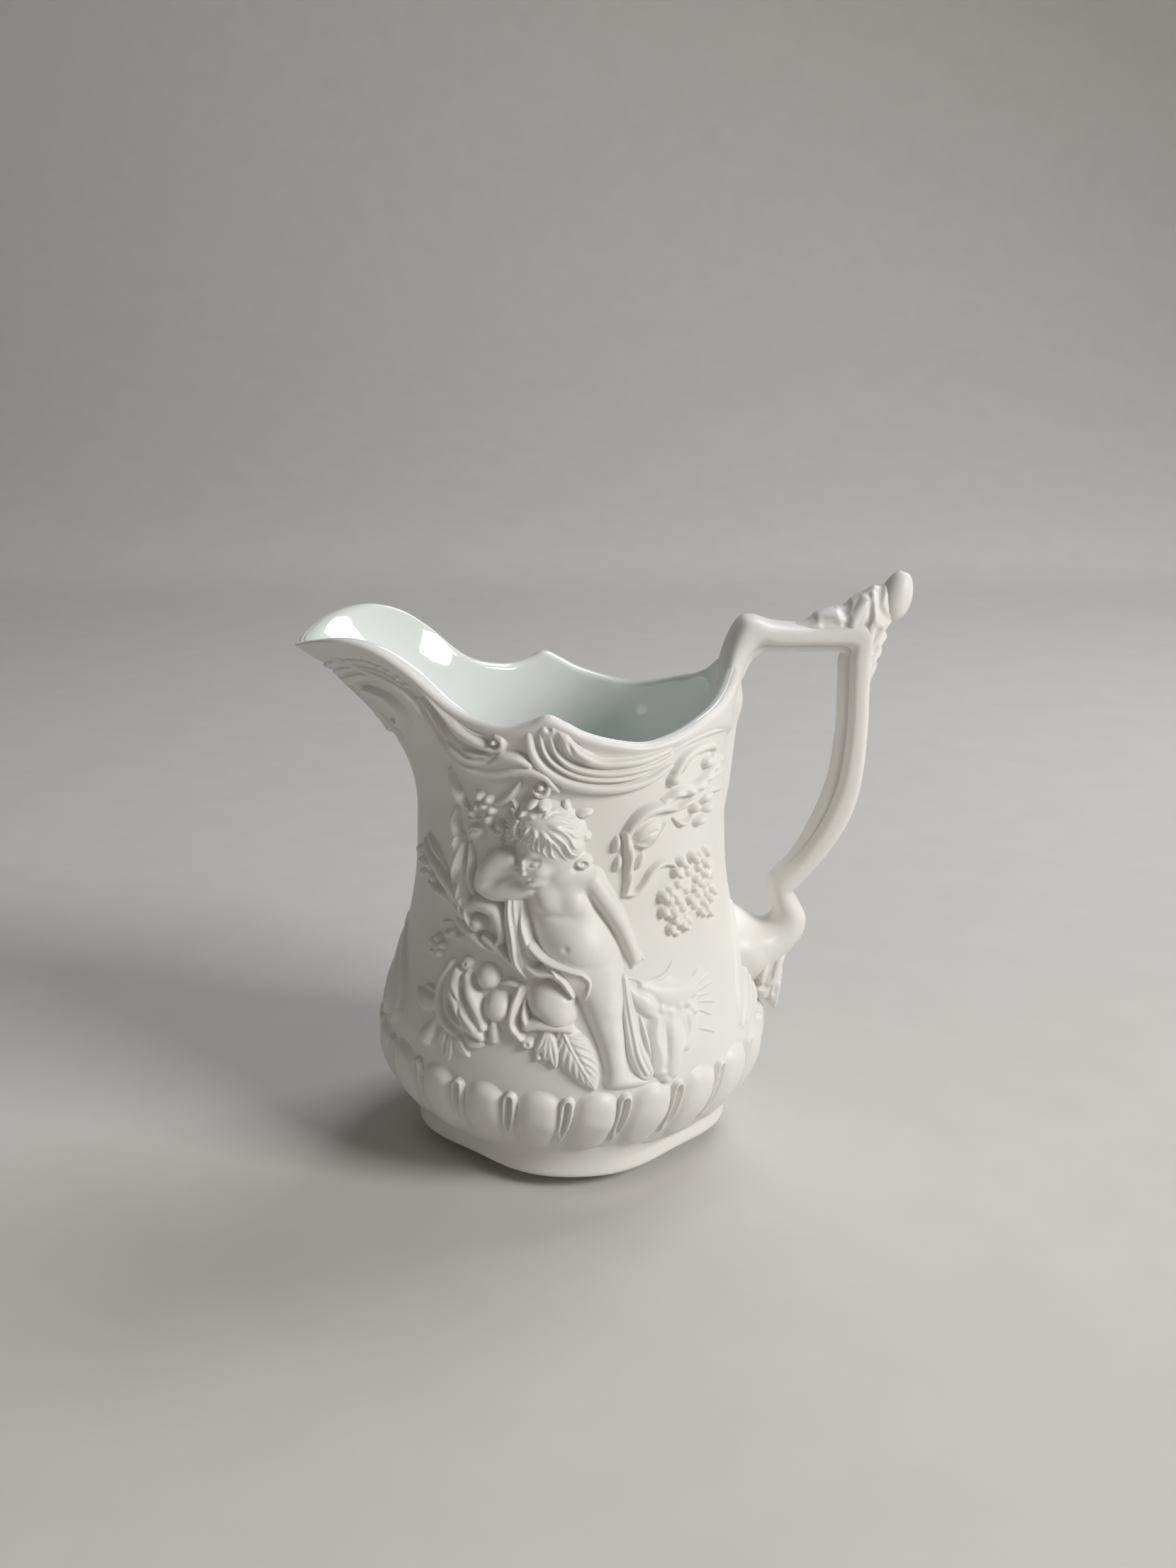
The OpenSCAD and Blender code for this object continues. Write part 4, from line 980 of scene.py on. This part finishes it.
# Stations along the handle: (loop side x, z, outer side x, z, share of the width, roundness of the section,
# share of the way in from the loop side at which it is widest). A roundness over 1 gives flared sides.
HANDLE = [
    (31.4, 66, 29.6, 66.2, 0.3, 1.2, 0.8), (32.4, 72, 29.6, 72.5, 0.5, 1.4, 0.8),
    (33, 78, 29.7, 78.2, 0.72, 1.5, 0.8), (33.6, 83.5, 29.8, 84, 0.95, 1.5, 0.78),
    (34.7, 88.6, 29.8, 90, 1.25, 1.4, 0.74), (34.3, 93.4, 29.6, 95.6, 1.2, 1.1, 0.64),
    (35.2, 97.4, 31, 101, 1.1, 0.9, 0.55), (37.2, 99.8, 33.4, 105.4, 1.04, 0.8, 0.5),
    (39, 100.4, 36.2, 106.2, 1.02, 0.75, 0.5), (42, 100.4, 40.5, 104.9, 1, 0.66, 0.5),
    (46.5, 100.4, 46.3, 104.4, 1, 0.66, 0.5), (51.5, 100.4, 52, 104.6, 1, 0.64, 0.5),
    (55.2, 99.8, 60, 104.8, 1, 0.64, 0.5), (55.4, 97, 60.2, 98, 1, 0.62, 0.5),
    (55.5, 91, 59.9, 91, 1, 0.62, 0.5), (55.4, 83, 59.9, 83, 1, 0.62, 0.5),
    (54.5, 74.3, 59.2, 73, 1, 0.62, 0.5), (52.8, 68, 57.4, 65.5, 1, 0.62, 0.5),
    (50.1, 62.2, 54.3, 59.5, 1, 0.64, 0.5), (46.4, 56.6, 50.3, 54, 1, 0.7, 0.5),
    (42, 52.4, 47.3, 50.3, 1, 0.8, 0.5), (40.9, 50, 46, 48.6, 0.98, 0.88, 0.5),
    (41, 47.4, 47.3, 46.2, 0.95, 0.92, 0.5),
    (42, 44.6, 48.9, 42.6, 0.95, 0.92, 0.5), (41.2, 42.6, 48.3, 39, 1, 0.92, 0.46),
    (39, 42.1, 46, 35.8, 1.15, 0.95, 0.44), (36.8, 43.3, 42.8, 32, 1.45, 1.05, 0.42),
    (34.4, 44.9, 39.6, 28.8, 1.85, 1.15, 0.42), (31.4, 46, 35, 27, 2.1, 1.2, 0.42),
]
RIB_FIRST, RIB_LAST = 5, 20     # stations between which the rib runs
RIB_STANDS = 1.6                # how far it stands out into the loop, and how deep it is set in the bar


def tube_faces(rows, around):
    """Quads round a tube of rings, with its two ends closed."""
    faces = [tuple(q) for q in grid_faces(rows, around, wrap_columns=True)]
    faces.append(tuple(range(around))[::-1])
    faces.append(tuple((rows - 1) * around + k for k in range(around)))
    return faces


def swept(name, stations, half_width, node, look, around=48):
    """A bar lofted through sections between the two edges of each station."""
    s = path(stations, 9)
    width, power, widest = s[:, 4:5], s[:, 5:6], s[:, 6:7]
    turn = np.linspace(0, 2 * math.pi, around, endpoint=False)
    c = np.sign(np.cos(turn)) * np.abs(np.cos(turn)) ** power
    w = np.sign(np.sin(turn)) * np.abs(np.sin(turn)) ** power
    share = widest + np.where(c > 0, (1 - widest) * c, widest * c)
    xz = s[:, None, [0, 1]] * (1 - share[..., None]) + s[:, None, [2, 3]] * share[..., None]
    points = np.stack([xz[..., 0], half_width * width * w, xz[..., 1]], -1).reshape(-1, 3)
    build(name, points, tube_faces(len(s), around), node, look)


def make_handle(bisque):
    swept("handle_main", HANDLE, HANDLE_W / 2, "handle_bar", bisque)
    rib = []
    count = RIB_LAST - RIB_FIRST
    for k, (x, z, x2, z2, *_) in enumerate(HANDLE[RIB_FIRST:RIB_LAST + 1]):
        arm = np.array([x2 - x, z2 - z])
        arm = arm / np.linalg.norm(arm)
        share = min(1, 0.2 + 0.5 * k, 0.15 + 0.35 * (count - k))
        stand = RIB_STANDS * share
        rib.append((x - stand * arm[0], z - stand * arm[1], x + RIB_STANDS * arm[0], z + RIB_STANDS * arm[1],
                    0.55 + 0.45 * share, 0.8, 0.6))
    swept("handle_inner_rib", rib, RIB_W / 2, "handle_rib", bisque, around=36)


VOXEL = 0.24          # of the remesh that joins the strands
BEAD_STEP = 0.12      # spacing of the balls along a strand, as a share of their radius
SMOOTHING = 14        # rounds of smoothing after the remesh


def creased(co, normals, creases):
    """Points moved along their normals by ridges drawn in the handle's plane; negative ones are grooves."""
    shift = np.zeros(len(co))
    flat = co[:, [0, 2]]
    for points, half_width, amount in creases:
        away = np.full(len(co), 1e9)
        line = path(points, 5)
        for a, b in zip(line, line[1:]):
            t = np.clip((flat - a) @ (b - a) / ((b - a) @ (b - a)), 0, 1)
            away = np.minimum(away, np.linalg.norm(flat - a - t[:, None] * (b - a), axis=1))
        shift += amount * np.clip(1 - (away / half_width) ** 2, 0, None) ** 1.5
    return co + normals * shift[:, None]


def unit_ball():
    """Points and triangles of a ball of radius 1."""
    ball = bpy.data.meshes.new("ball")
    shape = bmesh.new()
    bmesh.ops.create_icosphere(shape, subdivisions=2, radius=1)
    shape.to_mesh(ball)
    shape.free()
    unit = np.array([v.co for v in ball.vertices])
    faces = np.array([p.vertices for p in ball.polygons])
    bpy.data.meshes.remove(ball)
    return unit, faces


def balls_along(strand):
    """Rows of a strand, close enough together for balls there to join smoothly."""
    kept = []
    for row in path(strand, 24):
        if not kept or np.linalg.norm(row[:3] - kept[-1][:3]) > BEAD_STEP * row[3]:
            kept.append(row)
    return kept


def kneaded(name, strands, node, look, creases):
    """Strands of clay worked together. A strand is rows of (x, y, z, radius, half-width across)."""
    unit, faces = unit_ball()
    balls = np.array([row for strand in strands for row in balls_along(strand)])
    stretch = np.stack([balls[:, 3], balls[:, 4], balls[:, 3]], -1)
    points = (unit[None] * stretch[:, None] + balls[:, None, :3]).reshape(-1, 3)
    all_faces = (faces[None] + (np.arange(len(balls)) * len(unit))[:, None, None]).reshape(-1, 3)
    rough = bpy.data.meshes.new(name + "_rough")
    rough.from_pydata(points.tolist(), [], all_faces.tolist())
    lump = bpy.data.objects.new(name + "_rough", rough)
    bpy.context.scene.collection.objects.link(lump)
    remesh = lump.modifiers.new("join", "REMESH")
    remesh.mode = "VOXEL"
    remesh.voxel_size = VOXEL
    smooth = lump.modifiers.new("smooth", "SMOOTH")
    smooth.factor = 0.5
    smooth.iterations = SMOOTHING
    depsgraph = bpy.context.evaluated_depsgraph_get()
    mesh = bpy.data.meshes.new_from_object(lump.evaluated_get(depsgraph))
    bpy.data.objects.remove(lump)
    bpy.data.meshes.remove(rough)
    count = len(mesh.vertices)
    co, normals = np.empty(count * 3), np.empty(count * 3)
    mesh.vertices.foreach_get("co", co)
    mesh.vertices.foreach_get("normal", normals)
    co = creased(co.reshape(-1, 3), normals.reshape(-1, 3), creases)
    mesh.vertices.foreach_set("co", (co * MM).ravel())
    mesh.polygons.foreach_set("use_smooth", np.ones(len(mesh.polygons), bool))
    mesh.materials.clear()
    mesh.update()
    place(name, mesh, node, look)


BUD_FOOT = np.array([63.3, 104.9])     # (x, z) of its two ends
BUD_TIP = np.array([66.4, 114.8])
BUD_R = 3.35
BUD_WIDER = 1.13      # the bud is this much wider across the handle than along it


def make_bud(bisque):
    """An egg-shaped bud, fuller towards its foot."""
    around = 48
    t = np.linspace(0, 1, 40)
    radius = BUD_R * np.sqrt(np.clip(1 - (2 * t - 1) ** 2, 0, 1)) ** 0.9 * (1.06 - 0.22 * t)
    axis = (BUD_TIP - BUD_FOOT) / np.linalg.norm(BUD_TIP - BUD_FOOT)
    across = np.array([axis[1], -axis[0]])
    turn = np.linspace(0, 2 * math.pi, around, endpoint=False)
    centre = BUD_FOOT + (BUD_TIP - BUD_FOOT) * t[:, None]
    xz = centre[:, None] + across * (radius[:, None] * np.cos(turn))[..., None]
    y = BUD_WIDER * radius[:, None] * np.sin(turn)
    points = np.stack([xz[..., 0], y, xz[..., 1]], -1)[1:-1].reshape(-1, 3)
    build("bud", points, tube_faces(len(t) - 2, around), "thumb_bud", bisque)


def make_thumb_leaves(bisque):
    strands = [
        # Crumpled ridge that climbs along the bar to the bud
        [(45, 0, 102.8, 1.7, 4), (48, 0, 103.2, 2.3, 4.6), (50.6, 0, 103.7, 3.3, 4.8),
         (53, 0, 104.2, 3.6, 4.9), (56, 0, 104.8, 4.2, 4.9), (58.6, 0, 105.9, 4.6, 4.8),
         (60.2, 0, 107.4, 4, 4.3), (62, 0, 109.5, 3.2, 2.8)],
        # Clay that blends the ridge into the sides of the bar
        [(45, 0, 102.4, 1.9, 4.7), (48, 0, 102.5, 2.2, 5.2), (52, 0, 102.6, 2.4, 5.35),
         (56, 0, 102.7, 2.7, 5.4), (58.4, 0, 101.6, 2.9, 5.4), (57.8, 0, 98, 2.3, 5.35),
         (57.7, 0, 94, 2.1, 5.2), (57.7, 0, 91, 1.9, 4.8)],
        # Fall of leaves on the outer side
        [(59.4, 0, 105, 4.6, 5.3), (59.2, 0, 101.8, 4.2, 5.2), (59, 0, 98.6, 3.4, 5), (59, 0, 95.6, 2.4, 4.4),
         (59.2, 0, 92.4, 1, 2.6)],
        [(61, 0, 106, 2.8, 4), (63, 0, 105.8, 1.9, 3.4)],
    ]
    creases = [
        # Round the bud
        ([(61.6, 112.6), (60.9, 110.2), (61, 107.8), (62.4, 106), (64.4, 105.4)], 1.1, -0.5),
        ([(60, 110.4), (59.7, 108), (60.2, 105.6), (61.4, 104.4)], 1, 0.3),
        # Along the ridge
        ([(50.2, 105), (51.8, 104.8), (53.6, 104.4)], 1.4, -0.5),
        ([(49.6, 106.2), (51.4, 106.6), (53, 106.2)], 1.4, 0.3),
        ([(54.6, 108.8), (54, 107), (54.4, 105.2)], 1.3, -0.4),
        ([(58.2, 109.4), (56.8, 107.2), (55.6, 105)], 1.2, 0.4),
        ([(59.2, 108.6), (58.8, 106.4), (57.8, 104.2)], 0.9, -0.45),
        # Veins and notches of the fall
        ([(61.4, 105.2), (60.4, 103.4), (59.2, 101.4)], 0.9, -0.45),
        ([(64.2, 103.9), (62.2, 102.2), (60, 99.6)], 0.9, -0.65),
        ([(63.4, 100.9), (61.6, 99.2), (59.6, 97.2)], 0.9, -0.6),
        ([(62.4, 97.8), (60.8, 96.4), (59.4, 94.8)], 0.8, -0.5),
    ]
    kneaded("thumb_foliage", strands, "thumb_leaves", bisque, creases)


def make_terminal_leaf(bisque):
    strands = [
        # Filling between the flared end of the bar and the leaf
        [(40.6, 0, 37, 3, 6), (39.6, 0, 33, 3.4, 7.4), (39.4, 0, 29.6, 3, 7), (40, 0, 26.6, 2, 5)],
        # Folded leaf that hangs clear of the wall and ends in a point
        [(43.8, 0, 38.4, 2, 4.6), (42.5, 0, 35.2, 2.2, 5.6), (42.1, 0, 32, 2.4, 6), (41.9, 0, 28.8, 2.3, 5.4),
         (42, 0, 25.9, 1.8, 4), (42.6, 0, 23.7, 1.1, 2.2), (43, 0, 22.4, 0.6, 0.9)],
    ]
    creases = [
        ([(45, 36.8), (43, 35.6), (41.4, 33.6), (40.5, 30.6), (39.7, 28.8), (38.4, 30), (37.5, 31.5),
          (36.4, 34.6)], 0.9, -0.8),
        ([(44, 35.2), (42.4, 32.8), (41, 29.8)], 0.9, 0.45),
        ([(44.4, 33.6), (43.2, 30.6), (42.4, 27)], 0.8, -0.45),
        ([(43.4, 29), (43.2, 26.4), (43.2, 24)], 0.6, 0.25),
    ]
    kneaded("lower_leaf", strands, "terminal_leaf", bisque, creases)


# ---------------------------------------------------------------- looks


def spread(nodes, links, source, low, high):
    """Maps a noise's middle values to a range."""
    m = nodes.new("ShaderNodeMapRange")
    m.inputs["From Min"].default_value = 0.3
    m.inputs["From Max"].default_value = 0.7
    m.inputs["To Min"].default_value = low
    m.inputs["To Max"].default_value = high
    links.new(source, m.inputs["Value"])
    return m.outputs["Result"]


def tinted(nodes, links, factor, a, b):
    m = nodes.new("ShaderNodeMix")
    m.data_type = "RGBA"
    m.inputs["A"].default_value = (*a, 1)
    m.inputs["B"].default_value = (*b, 1)
    links.new(factor, m.inputs["Factor"])
    return m.outputs["Result"]


def roughened(nodes, links, shader, pairs):
    """Joins noise bumps one after another; pairs is (noise output, height in metres)."""
    before = None
    for source, height in pairs:
        b = nodes.new("ShaderNodeBump")
        b.inputs["Distance"].default_value = height
        b.inputs["Strength"].default_value = 1
        links.new(source, b.inputs["Height"])
        if before is not None:
            links.new(before, b.inputs["Normal"])
        before = b.outputs["Normal"]
    links.new(before, shader.inputs["Normal"])


def new_look(name, tones, noises):
    """A look whose colour drifts between two tones. noises is (scale, detail), the first for the colour."""
    look = bpy.data.materials.new(name)
    look.use_nodes = True
    nodes, links = look.node_tree.nodes, look.node_tree.links
    shader = nodes["Principled BSDF"]
    where = nodes.new("ShaderNodeTexCoord").outputs["Object"]
    fields = []
    for scale, detail in noises:
        n = nodes.new("ShaderNodeTexNoise")
        n.inputs["Scale"].default_value = scale
        n.inputs["Detail"].default_value = detail
        links.new(where, n.inputs["Vector"])
        fields.append(n.outputs["Fac"])
    tone = spread(nodes, links, fields[0], 0, 1)
    links.new(tinted(nodes, links, tone, *tones), shader.inputs["Base Color"])
    return look, nodes, links, shader, fields


def bisque_look():
    """Unglazed porcelain: faint mottling, a fine grain, and a little light that goes through."""
    tones = (0.74, 0.725, 0.69), (0.78, 0.768, 0.74)
    look, nodes, links, shader, fields = new_look("bisque_clay", tones, [(30, 3), (900, 4), (5200, 2)])
    _, fine, grain = fields
    links.new(spread(nodes, links, fine, 0.38, 0.5), shader.inputs["Roughness"])
    shader.inputs["Subsurface Weight"].default_value = 0.12
    shader.inputs["Subsurface Radius"].default_value = (1.0, 0.7, 0.5)
    shader.inputs["Subsurface Scale"].default_value = 0.0012
    shader.inputs["IOR"].default_value = 1.46
    roughened(nodes, links, shader, [(fine, 0.00002), (grain, 0.000006)])
    return look


def glaze_look():
    """Pale greenish glaze with a slightly wavy shine."""
    tones = (0.74, 0.785, 0.75), (0.77, 0.81, 0.78)
    look, nodes, links, shader, (_, wave) = new_look("clear_glaze", tones, [(22, 2), (95, 2)])
    links.new(spread(nodes, links, wave, 0.04, 0.08), shader.inputs["Roughness"])
    shader.inputs["IOR"].default_value = 1.52
    shader.inputs["Coat Weight"].default_value = 0.4
    shader.inputs["Coat Roughness"].default_value = 0.03
    roughened(nodes, links, shader, [(wave, 0.00012)])
    return look


def floor_look():
    look, _, _, shader, _ = new_look("floor_paper", ((0.60, 0.585, 0.56), (0.62, 0.605, 0.58)), [(60, 4)])
    shader.inputs["Roughness"].default_value = 0.9
    return look


# ---------------------------------------------------------------- floor, light and camera, in metres

FLOOR_HALF = 1.6
# The floor's section: (y, z), flat under the jug and swept up behind it
FLOOR_SWEEP = [(-0.9, 0), (0.45, 0), (0.75, 0.04), (1.0, 0.2), (1.1, 0.5), (1.12, 1.2)]
LIT_POINT = (0, 0, 0.06)
# name, place, width, height, watts, colour
LAMPS = [
    ("window", (0.78, -0.54, 0.6), 0.44, 0.32, 9.2, (1, 0.985, 0.96)),
    ("skylight", (0.4, 0.42, 0.8), 0.5, 0.4, 3.7, (0.97, 0.98, 1)),
    ("room_fill", (-0.7, -0.6, 0.4), 0.6, 0.5, 0.55, (1, 0.87, 0.72)),
]
ROOM_COLOUR = (0.92, 0.93, 0.95, 1)
ROOM_STRENGTH = 0.12
CAMERA_AT = (-0.0082, -0.3344, 0.1631)
CAMERA_TURN = (74.7, 0, -2)     # degrees
LENS_MM = 39.06


def lamp(name, place_at, width, height, power, colour):
    """A soft rectangular lamp that points at the jug."""
    data = bpy.data.lights.new(name, "AREA")
    data.shape = "RECTANGLE"
    data.size, data.size_y = width, height
    data.energy = power
    data.color = colour
    light = bpy.data.objects.new(name, data)
    light.location = place_at
    way = Vector(LIT_POINT) - light.location
    light.rotation_euler = way.to_track_quat("-Z", "Y").to_euler()
    bpy.context.scene.collection.objects.link(light)


def make_stage():
    line = path(FLOOR_SWEEP, 10)
    points = [(x, y, z) for y, z in line for x in (-FLOOR_HALF, FLOOR_HALF)]
    faces = [(2 * k, 2 * k + 1, 2 * k + 3, 2 * k + 2) for k in range(len(line) - 1)]
    mesh = bpy.data.meshes.new("floor")
    mesh.from_pydata(points, [], faces)
    mesh.polygons.foreach_set("use_smooth", np.ones(len(mesh.polygons), bool))
    mesh.materials.append(floor_look())
    floor = bpy.data.objects.new("floor", mesh)
    bpy.context.scene.collection.objects.link(floor)

    for row in LAMPS:
        lamp(*row)
    world = bpy.data.worlds.new("room")
    world.use_nodes = True
    world.node_tree.nodes["Background"].inputs["Color"].default_value = ROOM_COLOUR
    world.node_tree.nodes["Background"].inputs["Strength"].default_value = ROOM_STRENGTH
    bpy.context.scene.view_settings.view_transform = "Standard"
    bpy.context.scene.world = world


def make_camera():
    data = bpy.data.cameras.new("camera")
    data.sensor_width = 36
    data.lens = LENS_MM
    data.clip_start, data.clip_end = 0.01, 10
    camera = bpy.data.objects.new("camera", data)
    camera.location = CAMERA_AT
    camera.rotation_euler = [math.radians(turn) for turn in CAMERA_TURN]
    bpy.context.scene.collection.objects.link(camera)
    bpy.context.scene.camera = camera


# ---------------------------------------------------------------- the whole jug

make_camera()

bisque = bisque_look()
glaze = glaze_look()
make_body(bisque, glaze)
make_foot(bisque)
for design in MIRRORED:
    clay = design()
    relief_piece(design.__name__ + "_front", clay, bisque)
    relief_piece(design.__name__ + "_back", clay, bisque, side=-1)
for design in SINGLE:
    relief_piece(design.__name__, design(), bisque)
make_handle(bisque)
make_bud(bisque)
make_thumb_leaves(bisque)
make_terminal_leaf(bisque)
make_stage()
